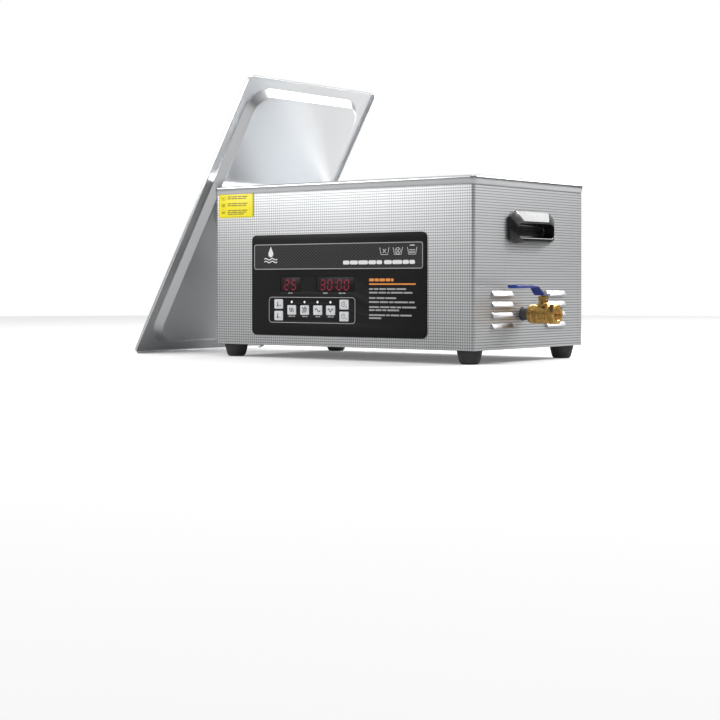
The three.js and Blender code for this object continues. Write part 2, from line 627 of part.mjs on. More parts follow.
function lidHandle() {
  const { len, w, top, bar, foot, screwR } = LID_HANDLE;
  const seatZ = LID.sheet - LID.drop + GAP;
  const [x0, x1] = [LID.len / 2 - len / 2, LID.len / 2 + len / 2];
  const [y0, y1] = [LID.wid / 2 - w / 2, LID.wid / 2 + w / 2];
  const arch = extruded('y', rectangle(seatZ - 20, top, x0, x1, 12), y0, y1);
  const gap = extruded('y', rectangle(seatZ - 30, top - bar, x0 + foot, x1 - foot, 8), y0 - 1, y1 + 1);
  const below = block(x0 - 1, x1 + 1, y0 - 1, y1 + 1, seatZ - 25, seatZ);
  const screwHoles = lidScrewSpots().map((spot) => rod('z', spot, screwR + 0.4, seatZ - 1, seatZ + 14, 12));
  return cut(arch, gap, below, ...screwHoles);
}

function lidScrew(spot) {
  const under = -LID.drop - GAP;
  const profile = [[0, under - 2.4], [4, under - 2.4], [5, under], [LID_HANDLE.screwR, under],
    [LID_HANDLE.screwR, 0], [0, 0]];
  return turned('z', spot, profile, 12);
}

// Leans the lid so that its lower edge is on the ground and its pressed centre on the rim's bead.
function leaningLid() {
  const group = new THREE.Group();
  const [sin, cos] = [Math.sin(LID.lean), Math.cos(LID.lean)];
  const z0 = LID.lip * cos - FOOT.h;
  const bead = { x: RIM.bead - RIM.overhang, z: RIM.top - RIM.bead };
  const reach = RIM.bead + LID.drop + LID.rest;
  const x0 = bead.x - (reach + (bead.z - z0) * cos) / sin;
  group.rotation.y = -LID.lean;
  group.position.set(x0, LID.front, z0);
  return group;
}

// ---- assembly ----
piece('tank', tankBody(), POLISHED_STEEL);
piece('case_wrap', caseWrap(), LINEN_STEEL);
piece('rear_panel', rearPanel(), LINEN_STEEL);
piece('base_plate', basePlate(), ZINC_STEEL);

const near = FOOT.inset;
piece('foot_front_left', foot(near, near), BLACK_RUBBER);
piece('foot_front_right', foot(CASE.w - near, near), BLACK_RUBBER);
piece('foot_rear_left', foot(near, CASE.d - near), BLACK_RUBBER);
piece('foot_rear_right', foot(CASE.w - near, CASE.d - near), BLACK_RUBBER);

piece('handle_left', handle(-1), BLACK_PLASTIC);
piece('handle_right', handle(1), BLACK_PLASTIC);

piece('control_panel', controlPanel(), BLACK_PANEL);
piece('control_board', controlBoard(), BOARD_GREEN);
piece('indicator_strip', indicatorStrip(), LENS_WHITE);
piece('label_plate', labelPlate(), LABEL_YELLOW);
for (const window of WINDOWS) piece(window.name, display(window), DISPLAY_RED);
for (const spec of KEYS) piece(spec.name, key(spec), KEY_GREY);

piece('drain_pipe', drainPipe(), ZINC_STEEL);
piece('drain_nut', drainNut(), BRASS);
piece('valve_body', valveBody(), BRASS);
piece('valve_end_cap', valveEndCap(), BRASS);
piece('valve_seat_inner', seat(VALVE.stemX - 13.5, VALVE.stemX - 8.8), SEAT_WHITE);
piece('valve_seat_outer', seat(VALVE.stemX + 8.8, VALVE.stemX + 13.5), SEAT_WHITE);
piece('valve_ball', ball(), POLISHED_STEEL);
piece('valve_stem', valveStem(), BRASS);
piece('packing_nut', nutAroundStem(16, VALVE.z + 22 + GAP, 81.8, 4.5), BRASS);
piece('valve_lever', valveLever(), LEVER_BLUE);
piece('lever_sleeve', leverSleeve(), LEVER_BLUE);
piece('lever_nut', nutAroundStem(12, LEVER.z0 + LEVER.t + GAP, 90, 4.4), ZINC_STEEL);

let count = 0;
for (const y of TRANSDUCER.y) {
  for (const x of TRANSDUCER.x) piece(`transducer_${++count}`, transducer(x, y), ALUMINIUM);
}
piece('generator_board', generatorBoard(), BOARD_GREEN);
const tubFront = MID.y - TANK.d / 2 - TANK.sheet;
piece('heater_front', heaterPad(tubFront, -1), HEATER_RED);
piece('heater_rear', heaterPad(CASE.d - tubFront, 1), HEATER_RED);
piece('temperature_sensor', temperatureSensor(), BRASS);

piece('fan_frame', fanFrame(), BLACK_PLASTIC);
piece('fan_rotor', fanRotor(), BLACK_PLASTIC);
piece('fan_guard', fanGuard(), ZINC_STEEL);
piece('power_inlet', powerInlet(), BLACK_PLASTIC);
piece('switch_housing', switchHousing(), BLACK_PLASTIC);
piece('switch_rocker', switchRocker(), BLACK_PLASTIC);

const lidGroup = leaningLid();
machine.add(lidGroup);
piece('lid', lidBody(), POLISHED_STEEL, lidGroup);
piece('lid_handle', lidHandle(), BLACK_PLASTIC, lidGroup);
lidScrewSpots().forEach((spot, i) => piece(`lid_screw_${i + 1}`, lidScrew(spot), ZINC_STEEL, lidGroup));

machine.updateMatrixWorld(true);
const bounds = new THREE.Box3().setFromObject(machine, true);
const middle = bounds.getCenter(new THREE.Vector3());
machine.position.set(-middle.x, -middle.y, -bounds.min.z);

export default machine;
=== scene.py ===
"""Looks of the bench ultrasonic cleaner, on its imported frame.

Pieces are drawn in millimetres from the case's front left bottom corner, the same place that the
CAD starts from, and place() moves them to the row frame in metres.
"""
import math

import bmesh
import bpy
from mathutils import Matrix, Vector

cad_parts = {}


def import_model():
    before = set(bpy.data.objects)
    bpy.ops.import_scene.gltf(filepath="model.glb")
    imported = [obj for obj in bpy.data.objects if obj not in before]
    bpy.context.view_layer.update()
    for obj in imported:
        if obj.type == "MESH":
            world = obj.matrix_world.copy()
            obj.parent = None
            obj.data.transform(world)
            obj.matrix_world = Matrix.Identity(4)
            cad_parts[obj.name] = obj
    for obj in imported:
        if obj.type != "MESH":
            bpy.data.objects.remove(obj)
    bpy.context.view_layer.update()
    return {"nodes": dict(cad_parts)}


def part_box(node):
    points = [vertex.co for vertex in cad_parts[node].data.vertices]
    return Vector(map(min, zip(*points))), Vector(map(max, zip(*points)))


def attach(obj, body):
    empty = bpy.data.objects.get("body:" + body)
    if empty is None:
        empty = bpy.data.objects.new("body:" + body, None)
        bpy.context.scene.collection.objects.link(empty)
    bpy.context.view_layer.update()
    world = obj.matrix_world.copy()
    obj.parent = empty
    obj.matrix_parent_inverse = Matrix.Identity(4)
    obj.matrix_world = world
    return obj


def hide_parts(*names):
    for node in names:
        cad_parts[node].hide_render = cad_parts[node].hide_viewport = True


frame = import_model()

MM = 0.001
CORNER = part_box("case_wrap")[0]

CASE = {"w": 525, "d": 320, "h": 258, "sheet": 1.2, "fold": 4, "seam": 305}
TANK = {"w": 500, "d": 295, "depth": 150, "sheet": 1.5, "corner": 26, "floor_r": 20, "lip_r": 3.5}
RIM = {"top": 264.5, "skirt": 251, "over": 2.5, "bead": 3.2, "tuck": 1.0, "corner": 8, "sheet": 1.2}
LID = {"len": 538, "wid": 342, "lean": 59.8, "front": -17.3, "sheet": 1, "lip": 5, "corner": 10,
       "flange": 19.5, "side_flange": 23, "slope": 10.5, "drop": 12, "corner_out": 45, "corner_in": 36}
PANEL = {"x0": 84, "x1": 438, "z0": 17, "z1": 181, "r": 9, "y0": -2.3, "y1": -0.3}
KEY = {"w": 18.5, "h": 15.5, "r": 1.6, "front": -2.9}
LOUVRE = {"cols": (48, 205), "len": 57, "rows": (90, 73.4, 57, 40.6), "h": 8.6, "out": 4.2}
HANDLE = {"y": 157, "z": 188.5, "half_w": 64, "half_h": 25.5, "edge": 5.6, "proud": 13.3, "depth": 9.5,
          "chamfer": 10}
POCKET = {"half_w": 54, "z0": 173, "z1": 194.5, "r": 10, "wall": 1.5}
VALVE = {"y": 137, "z": 54, "stem": 562, "split": 572, "x0": 539, "x1": 588}
FAN = {"x": 130, "z": 62, "frame": 25, "hole": 37, "mount": 34, "blades": 7, "wheel": 34.5}
SOCKET_Z = 60
INLET = {"x": 425, "half_w": 14, "half_h": 11}
SWITCH = {"x": 365, "half_w": 12, "half_h": 9.5}
DRAIN_X = 470
OPENING = (127, 304, 36, 115)
FEET = {"foot_front_left": (25, 25), "foot_front_right": (500, 25),
        "foot_rear_left": (25, 295), "foot_rear_right": (500, 295)}
RIVET_HEIGHTS = (20, 95, 170, 238)
SCREW_REACH = 49
LINEN_PITCH = 4.17
GROOVE = {"level": 0.30, "upright": 0.20, "most": 0.36}
HATCH_ANGLE = 55
MID = (CASE["w"] / 2, CASE["d"] / 2)

KEYS = {
    "key_temp_up": (142.6, 68), "key_temp_down": (142.6, 49), "key_heat": (170.5, 58.5),
    "key_degas": (197.8, 58.5), "key_wave": (225.1, 58.5), "key_start": (251.6, 58.5),
    "key_time_up": (279, 68), "key_time_down": (279, 49),
}
WINDOWS = {"display_temp": (146, 188.5, 88, 112), "display_time": (222, 300, 88, 112)}
LIGHTS = (170.3, 197.4, 224.5, 251)
LIGHT_Z = 71.5
DIGIT = {"w": 8.6, "h": 15.5, "lean": 0.09, "step": 14.6, "z": 91.5, "back": 0.4}
LABEL = {"x0": 8, "x1": 85.5, "z0": 211.5, "z1": 253, "r": 3.5, "front": -0.7, "back": -0.3}


# ---- materials ----
def add(tree, kind, **values):
    """A new shader node. An input's name has _ in place of spaces."""
    node = tree.nodes.new("ShaderNode" + kind)
    for name, value in values.items():
        node.inputs[name.replace("_", " ")].default_value = value
    return node


def link(tree, source, output, target, entry):
    tree.links.new(source.outputs[output], target.inputs[entry])


def surface(name, colour, roughness=0.4, metallic=0.0, mottle=0.0, uneven=0.06, scale=40,
            grain=0.0, grain_scale=900, stretch=(1, 1, 1), coat=0.0, emission=None, specular=0.5):
    """A procedural finish: cloudy colour, uneven roughness and a fine grain in the normals."""
    material = bpy.data.materials.new(name)
    material.use_nodes = True
    tree = material.node_tree
    shader = tree.nodes["Principled BSDF"]
    settings = {"Base Color": (*colour, 1), "Roughness": roughness, "Metallic": metallic,
                "Specular IOR Level": specular, "Coat Weight": coat, "Coat Roughness": 0.08}
    if emission:
        settings["Emission Color"] = (*colour, 1)
        settings["Emission Strength"] = emission
    for entry, value in settings.items():
        shader.inputs[entry].default_value = value
    mapping = add(tree, "Mapping", Scale=stretch)
    link(tree, add(tree, "TexCoord"), "Object", mapping, "Vector")
    cloud = noise(tree, mapping, scale, 4)
    if mottle:
        darker = [c * (1 - mottle) for c in colour]
        lighter = [min(1, c * (1 + mottle)) for c in colour]
        tint = ramp(tree, cloud.outputs["Fac"], darker, lighter, 0.35, 0.65)
        tree.links.new(tint, shader.inputs["Base Color"])
    rough = add(tree, "MapRange", From_Min=0.3, From_Max=0.7, To_Min=max(0.02, roughness - uneven),
                To_Max=min(1, roughness + uneven))
    link(tree, cloud, "Fac", rough, "Value")
    link(tree, rough, "Result", shader, "Roughness")
    if grain:
        bump = add(tree, "Bump", Strength=grain, Distance=0.0002)
        link(tree, noise(tree, mapping, grain_scale, 3), "Fac", bump, "Height")
        link(tree, bump, "Normal", shader, "Normal")
    return material


def noise(tree, mapping, scale, detail):
    node = add(tree, "TexNoise", Scale=scale, Detail=detail)
    link(tree, mapping, "Vector", node, "Vector")
    return node


def ramp(tree, value, low, high, start, end):
    """Turns a value's socket into a colour's: low up to start, and high from end."""
    node = add(tree, "ValToRGB")
    for element, position, colour in zip(node.color_ramp.elements, (start, end), (low, high)):
        element.position = position
        element.color = (*colour, 1)
    tree.links.new(value, node.inputs["Fac"])
    return node.outputs["Color"]


def hatched(name, low, high, pitch):
    """A dark film with a fine crossed diagonal hatch."""
    material = surface(name, low, roughness=0.42, scale=8, uneven=0.03, specular=0.18)
    tree = material.node_tree
    waves = []
    for angle in (HATCH_ANGLE, -HATCH_ANGLE):
        turn = add(tree, "Mapping", Rotation=(0, math.radians(angle), 0))
        wave = add(tree, "TexWave", Scale=1 / (10 * pitch * MM))
        wave.bands_direction = "X"
        link(tree, tree.nodes["Texture Coordinate"], "Object", turn, "Vector")
        link(tree, turn, "Vector", wave, "Vector")
        waves.append(wave.outputs["Fac"])
    tint = ramp(tree, calculate(tree, "MAXIMUM", *waves), low, high, 0.78, 0.98)
    tree.links.new(tint, tree.nodes["Principled BSDF"].inputs["Base Color"])
    return material


def even_pitch(length):
    """The emboss pitch that divides a length of sheet evenly."""
    return length / round(length / LINEN_PITCH)


def linen(name, across, length, faint, rough):
    """Embossed steel with painted shade: the base colour is darkened along the grooves between the pads,
    where shade falls. faint weakens the painted shade in the upright grooves.
    """
    bright, groove_shade = (0.80, 0.81, 0.82), (0.16, 0.165, 0.17)
    material = surface(name, bright, roughness=rough, metallic=1, uneven=0.015, scale=2.5)
    tree = material.node_tree
    split = add(tree, "SeparateXYZ")
    link(tree, tree.nodes["Texture Coordinate"], "Object", split, "Vector")
    level = groove(tree, split.outputs["Z"], CORNER.z, even_pitch(CASE["h"]) * MM, 1)
    start = (CORNER.x if across == "X" else CORNER.y) + CASE["fold"] * MM
    upright = groove(tree, split.outputs[across], start, even_pitch(length) * MM, faint)
    # Painted shade: the steel's colour turns dark grey along the grooves.
    tint = ramp(tree, calculate(tree, "MAXIMUM", level, upright), bright, groove_shade, 0, 1)
    tree.links.new(tint, tree.nodes["Principled BSDF"].inputs["Base Color"])
    return material


def calculate(tree, operation, first, second):
    node = add(tree, "Math")
    node.operation = operation
    for socket, value in zip(node.inputs, (first, second)):
        if isinstance(value, (int, float)):
            socket.default_value = value
        else:
            tree.links.new(value, socket)
    return node.outputs["Value"]


def groove(tree, distance, start, pitch, strength):
    """1 along a groove at every pitch from start, falling to 0 between grooves, times strength."""
    steps = calculate(tree, "DIVIDE", calculate(tree, "SUBTRACT", distance, start), pitch)
    part = calculate(tree, "FRACT", steps, 0)
    offset = calculate(tree, "ABSOLUTE", calculate(tree, "SUBTRACT", part, 0.5), 0)
    sharp = calculate(tree, "POWER", calculate(tree, "MULTIPLY", offset, 2.0), 3.0)
    return calculate(tree, "MULTIPLY", sharp, strength)


# Painted groove shade on the case. On the sides the upright grooves get fainter painted shade, for how the
# light falls along them.
LINEN_FRONT_GROOVE_SHADED = linen("linen_front_painted_groove_shade", "X", CASE["w"] - 2 * CASE["fold"], 1.0, 0.36)
LINEN_SIDE_GROOVE_SHADED = linen("linen_side_painted_groove_shade", "Y", CASE["seam"] - CASE["fold"], 0.22, 0.44)
PRESSED = surface("pressed_steel_finish", (0.55, 0.56, 0.57), 0.42, 1, mottle=0.02, uneven=0.04, scale=30,
                  grain=0.08, grain_scale=1200)
POLISHED = surface("polished_steel_finish", (0.66, 0.67, 0.68), 0.25, 1, mottle=0.015, uneven=0.01, scale=7)
LID_STEEL = surface("lid_steel_finish", (0.80, 0.81, 0.82), 0.30, 1, mottle=0.015, uneven=0.02, scale=5)
# Painted shade: steel darkened for the drain tube, whose stub by the wall sits in the valve's shadow.
SHADE_DARK_STEEL = surface("steel_darkened_as_shade", (0.16, 0.16, 0.165), 0.5, 1, mottle=0.15, scale=120, grain=0.2)
ZINC = surface("zinc_finish", (0.58, 0.59, 0.61), 0.36, 1, mottle=0.08, scale=120, grain=0.15)
CHROME = surface("chrome_finish", (0.80, 0.81, 0.83), 0.07, 1, uneven=0.02, scale=200)
BLACK_GLOSS = surface("black_gloss_finish", (0.011, 0.011, 0.012), 0.20, 0, mottle=0.2, uneven=0.05,
                      scale=60, grain=0.06, grain_scale=1400, coat=0.35)
BLACK_MOULDED = surface("black_moulded_finish", (0.018, 0.018, 0.019), 0.38, 0, mottle=0.2, scale=90,
                        grain=0.2, grain_scale=1600)
RUBBER = surface("rubber_finish", (0.032, 0.032, 0.033), 0.62, 0, mottle=0.25, scale=70, grain=0.45,
                 grain_scale=1100)
FILM = surface("panel_film_finish", (0.0065, 0.0065, 0.007), 0.42, 0, mottle=0.12, uneven=0.03, scale=8,
               grain=0.10, grain_scale=2400, specular=0.18)
HEADER = hatched("header_film_finish", (0.016, 0.016, 0.017), (0.050, 0.050, 0.052), 1.3)
INK_WHITE = surface("white_ink_finish", (0.72, 0.72, 0.72), 0.5, 0, mottle=0.03, scale=300)
INK_GREY = surface("grey_ink_finish", (0.34, 0.34, 0.34), 0.5, 0, mottle=0.05, scale=300)
INK_ORANGE = surface("orange_ink_finish", (0.72, 0.24, 0.03), 0.5, 0, mottle=0.05, scale=300)
INK_DARK = surface("dark_ink_finish", (0.03, 0.03, 0.032), 0.5, 0, mottle=0.1, scale=300)
KEY_GREY = surface("key_finish", (0.62, 0.63, 0.65), 0.42, 0, mottle=0.03, scale=150, grain=0.15,
                   grain_scale=2600)
LENS_RED = surface("display_filter_finish", (0.0095, 0.0050, 0.0058), 0.40, 0, mottle=0.12, uneven=0.03,
                   scale=30, specular=0.2)
SEGMENT_ON = surface("segment_on_finish", (0.20, 0.014, 0.034), 0.4, 0, mottle=0.06, scale=400,
                     emission=0.30, specular=0.2)
# Painted light: the unlit segments are given a faint glow, though they are not lit.
SEGMENT_OFF_GLOW = surface("segment_off_painted_glow", (0.055, 0.006, 0.012), 0.4, 0, mottle=0.08, scale=400,
                      emission=0.08, specular=0.2)
LENS_WHITE = surface("light_lens_finish", (0.85, 0.85, 0.82), 0.16, 0, mottle=0.02, scale=300, coat=0.5,
                     emission=0.25)
YELLOW = surface("label_finish", (0.84, 0.72, 0.010), 0.38, 0, mottle=0.03, scale=40, grain=0.05)
YELLOW_DARK = surface("label_ink_finish", (0.20, 0.16, 0.012), 0.5, 0, mottle=0.1, scale=300)
BRASS = surface("brass_finish", (0.71, 0.43, 0.13), 0.24, 1, mottle=0.12, uneven=0.08, scale=110,
                grain=0.30, grain_scale=700)
BRASS_MACHINED = surface("machined_brass_finish", (0.74, 0.47, 0.16), 0.18, 1, mottle=0.08, uneven=0.06,
                         scale=160, grain=0.12, grain_scale=900, stretch=(1, 6, 6))
BLUE_PAINT = surface("blue_paint_finish", (0.006, 0.026, 0.20), 0.34, 0, mottle=0.08, scale=90, grain=0.12,
                     grain_scale=600, coat=0.4)
BLUE_VINYL = surface("blue_vinyl_finish", (0.006, 0.028, 0.22), 0.40, 0, mottle=0.10, scale=120, grain=0.25,
                     grain_scale=800)
SEAT = surface("seat_finish", (0.86, 0.86, 0.84), 0.35, 0, mottle=0.02, scale=200)
BOARD = surface("board_finish", (0.015, 0.13, 0.05), 0.35, 0, mottle=0.25, scale=160, grain=0.2, coat=0.3)
ALLOY = surface("alloy_finish", (0.66, 0.67, 0.68), 0.30, 1, mottle=0.05, scale=140, grain=0.2,
                stretch=(1, 1, 8))
SILICONE = surface("silicone_finish", (0.40, 0.10, 0.045), 0.6, 0, mottle=0.12, scale=60, grain=0.4)


# ---- making pieces ----
def place(point):
    return CORNER + Vector(point) * MM


def added(name, data):
    """A new object in the scene."""
    obj = bpy.data.objects.new(name, data)
    bpy.context.scene.collection.objects.link(obj)
    return obj


def solid(name, vertices, faces):
    mesh = bpy.data.meshes.new(name)
    mesh.from_pydata([place(v) for v in vertices], [], faces)
    return added(name, mesh)


def piece(name, vertices, faces, material, body="machine", nodes=(), slot=None, smooth=32, bevel=0):
    """Makes one Blender piece from points in millimetres, parents it to its body's empty and hides the CAD
    nodes that it takes the place of.
    """
    return dress(solid(name, vertices, faces), material, body, nodes, smooth, bevel)


def dress(obj, material, body="machine", nodes=(), smooth=32, bevel=0):
    tidy_mesh(obj.data)
    if bevel:
        round_edges(obj, bevel)
    obj.data.materials.clear()
    obj.data.materials.append(material)
    obj.data.shade_smooth()
    obj.data.set_sharp_from_angle(angle=math.radians(smooth))
    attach(obj, body)
    if nodes:
        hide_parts(*nodes)
    return obj


def tidy_mesh(mesh):
    bm = bmesh.new()
    bm.from_mesh(mesh)
    bmesh.ops.remove_doubles(bm, verts=bm.verts, dist=1e-6)
    bmesh.ops.recalc_face_normals(bm, faces=bm.faces)
    bm.to_mesh(mesh)
    bm.free()


def applied(obj):
    """Applies the object's modifiers to its mesh."""
    bpy.context.view_layer.update()
    result = bpy.data.meshes.new_from_object(obj.evaluated_get(bpy.context.evaluated_depsgraph_get()))
    obj.modifiers.clear()
    old = obj.data
    obj.data = result
    bpy.data.meshes.remove(old)
    return obj


def round_edges(obj, width, segments=2, angle=30):
    edge = obj.modifiers.new("edges", "BEVEL")
    edge.width = width * MM
    edge.segments = segments
    edge.limit_method = "ANGLE"
    edge.angle_limit = math.radians(angle)
    return applied(obj)


def raw(name, vertices, faces):
    """A plain object in place, to cut or join with."""
    obj = solid(name, vertices, faces)
    tidy_mesh(obj.data)
    return obj


def combine(obj, tool, operation):
    """Joins, cuts or intersects obj with tool, and removes tool."""
    step = obj.modifiers.new("combine", "BOOLEAN")
    step.operation = operation
    step.solver = "EXACT"
    step.object = tool
    applied(obj)
    bpy.data.objects.remove(tool)
    return obj


def merged(*parts):
    """Puts several (vertices, faces) sets into one."""
    vertices, faces = [], []
    for more_vertices, more_faces in parts:
        start = len(vertices)
        vertices += more_vertices
        faces += [[i + start for i in face] for face in more_faces]
    return vertices, faces


def loft(loops, close=True, ends=True):
    """Skins loops with the same number of points."""
    count = len(loops[0])
    vertices = [point for loop in loops for point in loop]
    faces = []
    last = count if close else count - 1
    for i in range(len(loops) - 1):
        for k in range(last):
            a, b = i * count + k, i * count + (k + 1) % count
            faces.append([a, b, b + count, a + count])
    if ends:
        faces.append(list(range(count))[::-1])
        faces.append([(len(loops) - 1) * count + k for k in range(count)])
    return vertices, faces


AXES = {
    "x": lambda c, a, b, s: (c[0] + s, c[1] + a, c[2] + b),
    "y": lambda c, a, b, s: (c[0] + b, c[1] + s, c[2] + a),
    "z": lambda c, a, b, s: (c[0] + a, c[1] + b, c[2] + s),
}


def turned(axis, centre, profile, steps=56):
    """Turns a profile of (radius, distance) points, which starts and ends on the axis or is a ring."""
    ring = profile[0][0] > 0 and profile[-1][0] > 0
    vertices = []
    for a, b in circle(1, steps):
        vertices += [AXES[axis](centre, r * a, r * b, s) for r, s in profile]
    count = len(profile)
    faces = []
    for k in range(steps):
        a, b = k * count, (k + 1) % steps * count
        for i in range(count if ring else count - 1):
            j = (i + 1) % count
            faces.append([a + i, b + i, b + j, a + j])
    return vertices, faces


def rod(axis, centre, r, s0, s1, steps=56):
    return turned(axis, centre, [(0, s0), (r, s0), (r, s1), (0, s1)], steps)


def circle(r, steps):
    """(a, b) points round the origin."""
    angles = [2 * math.pi * k / steps for k in range(steps)]
    return [(r * math.cos(angle), r * math.sin(angle)) for angle in angles]


def rounded(points, radius, closed=False, steps=4):
    """Rounds the corners of a list of 2-D points. radius is one number, or one for each point."""
    radii = radius if isinstance(radius, (list, tuple)) else [radius] * len(points)
    result = []
    count = len(points)
    for i, point in enumerate(points):
        if not closed and i in (0, count - 1) or radii[i] == 0:
            result.append(tuple(point))
            continue
        here = Vector(point)
        before = Vector(points[i - 1]) - here
        after = Vector(points[(i + 1) % count]) - here
        half = before.angle(after) / 2
        reach = min(radii[i] / math.tan(half), before.length * 0.49, after.length * 0.49)
        start, end = here + before.normalized() * reach, here + after.normalized() * reach
        for k in range(steps + 1):
            t = k / steps
            result.append(tuple(start * (1 - t) ** 2 + here * 2 * t * (1 - t) + end * t ** 2))
    return result


def round_box(a0, a1, b0, b1, r, steps=6):
    """A rounded rectangle of 2-D points, anticlockwise."""
    points = []
    centres = ((a1 - r, b1 - r, 0), (a0 + r, b1 - r, 90), (a0 + r, b0 + r, 180), (a1 - r, b0 + r, 270))
    for ca, cb, start in centres:
        for k in range(steps + 1):
            angle = math.radians(start + 90 * k / steps)
            points.append((ca + r * math.cos(angle), cb + r * math.sin(angle)))
    return points


def prism(axis, points, s0, s1):
    """A prism along an axis from 2-D points: (y, z) for x, (x, z) for y and (x, y) for z."""
    order = {"x": lambda a, b, s: (s, a, b), "y": lambda a, b, s: (a, s, b), "z": lambda a, b, s: (a, b, s)}
    return loft([[order[axis](a, b, s) for a, b in points] for s in (s0, s1)])


def box(x0, x1, y0, y1, z0, z1):
    return prism("z", [(x0, y0), (x1, y0), (x1, y1), (x0, y1)], z0, z1)


def level_ring(centre, half_w, half_d, r, z, steps):
    cx, cy = centre
    return [(cx + a, cy + b, z) for a, b in round_box(-half_w, half_w, -half_d, half_d, r, steps)]


def quarter(steps):
    return [k / steps * math.pi / 2 for k in range(steps + 1)]


# ---- tank: tub, flange, rolled bead and skirt in one pressing ----
def tank():
    sheet, corner = TANK["sheet"], TANK["corner"]
    floor = RIM["top"] - TANK["depth"]
    inner = (TANK["w"] / 2, TANK["d"] / 2)
    outer = (inner[0] + sheet, inner[1] + sheet)
    skirt = (MID[0] + RIM["over"], MID[1] + RIM["over"])
    rings = []

    def ring(size, by, r, z):
        rings.append(level_ring(MID, size[0] - by, size[1] - by, r, z, 12))

    outer_r = TANK["floor_r"] + sheet
    for a in quarter(6):
        by = outer_r * (1 - math.sin(a))
        ring(outer, by, corner + sheet - by, floor - sheet + outer_r * (1 - math.cos(a)))
    under = RIM["top"] - RIM["sheet"]
    ring(outer, 0, corner + sheet, under)
    ring(skirt, RIM["bead"], RIM["corner"] - RIM["bead"], under)
    ring(skirt, RIM["sheet"], RIM["corner"] - RIM["sheet"], under - 2.5)
    tuck, hem = RIM["tuck"], 0.35
    edge = ((RIM["sheet"] + tuck, RIM["skirt"]), (hem + tuck, RIM["skirt"]), (tuck, RIM["skirt"] + hem),
            (0, RIM["top"] - RIM["bead"] - 0.9))
    for by, z in edge:
        ring(skirt, by, RIM["corner"] - by, z)
    for a in quarter(8):
        by = RIM["bead"] * (1 - math.cos(a))
        ring(skirt, by, RIM["corner"] - by, RIM["top"] - RIM["bead"] * (1 - math.sin(a)))
    for a in quarter(6):
        by = TANK["lip_r"] * (1 - math.sin(a))
        ring(inner, -by, corner + by, RIM["top"] - TANK["lip_r"] * (1 - math.cos(a)))
    for a in quarter(8):
        by = TANK["floor_r"] * (1 - math.cos(a))
        ring(inner, by, corner - by, floor + TANK["floor_r"] * (1 - math.sin(a)))
    tub = raw("tank_shell", *loft(rings))
    hole = raw("hole", *rod("z", (DRAIN_X, VALVE["y"], 0), 9, floor - 4, floor + 4))
    combine(tub, hole, "DIFFERENCE")
    dress(tub, POLISHED, nodes=["tank"], smooth=40)


# ---- embossed case sheets ----
def sheet_path(points):
    """Samples a folded sheet's outline at half the emboss pitch: (x, y, normal x, normal y)."""
    samples = []
    for (x0, y0, nx0, ny0), (x1, y1, nx1, ny1) in zip(points, points[1:]):
        flat = (nx0, ny0) == (nx1, ny1)
        count = max(2, 2 * round(math.hypot(x1 - x0, y1 - y0) / LINEN_PITCH)) if flat else 4
        for k in range(count):
            t = k / count
            if flat:
                samples.append((x0 + (x1 - x0) * t, y0 + (y1 - y0) * t, nx0, ny0))
            else:
                n = Vector((nx0, ny0)).slerp(Vector((nx1, ny1)), t)
                r = CASE["fold"]
                samples.append((x0 - nx0 * r + n.x * r, y0 - ny0 * r + n.y * r, n.x, n.y))
    samples.append(points[-1])
    return samples


def linen_sheet(name, points):
    """A folded steel sheet whose outside is pressed with square pads between crossed grooves."""
    columns = sheet_path(points)
    rows = 2 * round(CASE["h"] / LINEN_PITCH)
    loops = []
    for j in range(rows + 1):
        z = CASE["h"] * j / rows
        loop = []
        for i, (x, y, nx, ny) in enumerate(columns):
            depth = GROOVE["level"] * (j % 2 == 0) + GROOVE["upright"] * (i % 2 == 0)
            depth = min(depth, GROOVE["most"])
            loop.append((x - nx * depth, y - ny * depth, z))
        loops.append(loop)
    count = len(columns)
    vertices, faces = loft(loops, close=False, ends=False)
    inner = len(vertices)
    for z in (0, CASE["h"]):
        vertices += [(x - nx * CASE["sheet"], y - ny * CASE["sheet"], z) for x, y, nx, ny in columns]
    top = rows * count
    for i in range(count - 1):
        faces.append([inner + i, inner + i + 1, i + 1, i])
        faces.append([top + i, top + i + 1, inner + count + i + 1, inner + count + i])
        faces.append([inner + i + 1, inner + i, inner + count + i, inner + count + i + 1])
    for side in (0, count - 1):
        edge = [j * count + side for j in range(rows + 1)]
        faces.append(edge + [inner + count + side, inner + side])
    return raw(name, vertices, faces)


def side_groove_shade(sheet):
    """Gives the faces on the case's two sides the finish whose upright grooves, with their painted shade, run
    along Y.
    """
    sheet.data.materials.append(LINEN_SIDE_GROOVE_SHADED)
    half = CASE["fold"] / 2
    left, right = place((half, 0, 0)).x, place((CASE["w"] - half, 0, 0)).x
    for face in sheet.data.polygons:
        face.material_index = 0 if left < face.center.x < right else 1


def case_wrap():
    w, fold, seam = CASE["w"], CASE["fold"], CASE["seam"]
    sheet = linen_sheet("case_sheet", [(0, seam, -1, 0), (0, fold, -1, 0), (fold, 0, 0, -1),
                                       (w - fold, 0, 0, -1), (w, fold, 1, 0), (w, seam, 1, 0)])
    holes = [prism("y", round_box(*OPENING, 0.5, 1), -3, 4)]
    for x0, x1 in ((-3, 3), (w - 3, w + 3)):
        holes.append(prism("x", pocket_shape(POCKET["wall"] + 1, 6), x0, x1))
    for y in LOUVRE["cols"]:
        for top in LOUVRE["rows"]:
            bottom = top - LOUVRE["h"]
            holes.append(box(w - 3, w + 2, y + 1.6, y + LOUVRE["len"] - 1.6, bottom + 0.3, top - 2.6))
    holes.append(rod("x", (0, VALVE["y"], VALVE["z"]), 11, w - 3, w + 2, 40))
    combine(sheet, raw("holes", *merged(*holes)), "DIFFERENCE")
    dress(sheet, LINEN_FRONT_GROOVE_SHADED, nodes=["case_wrap"], smooth=60)
    side_groove_shade(sheet)


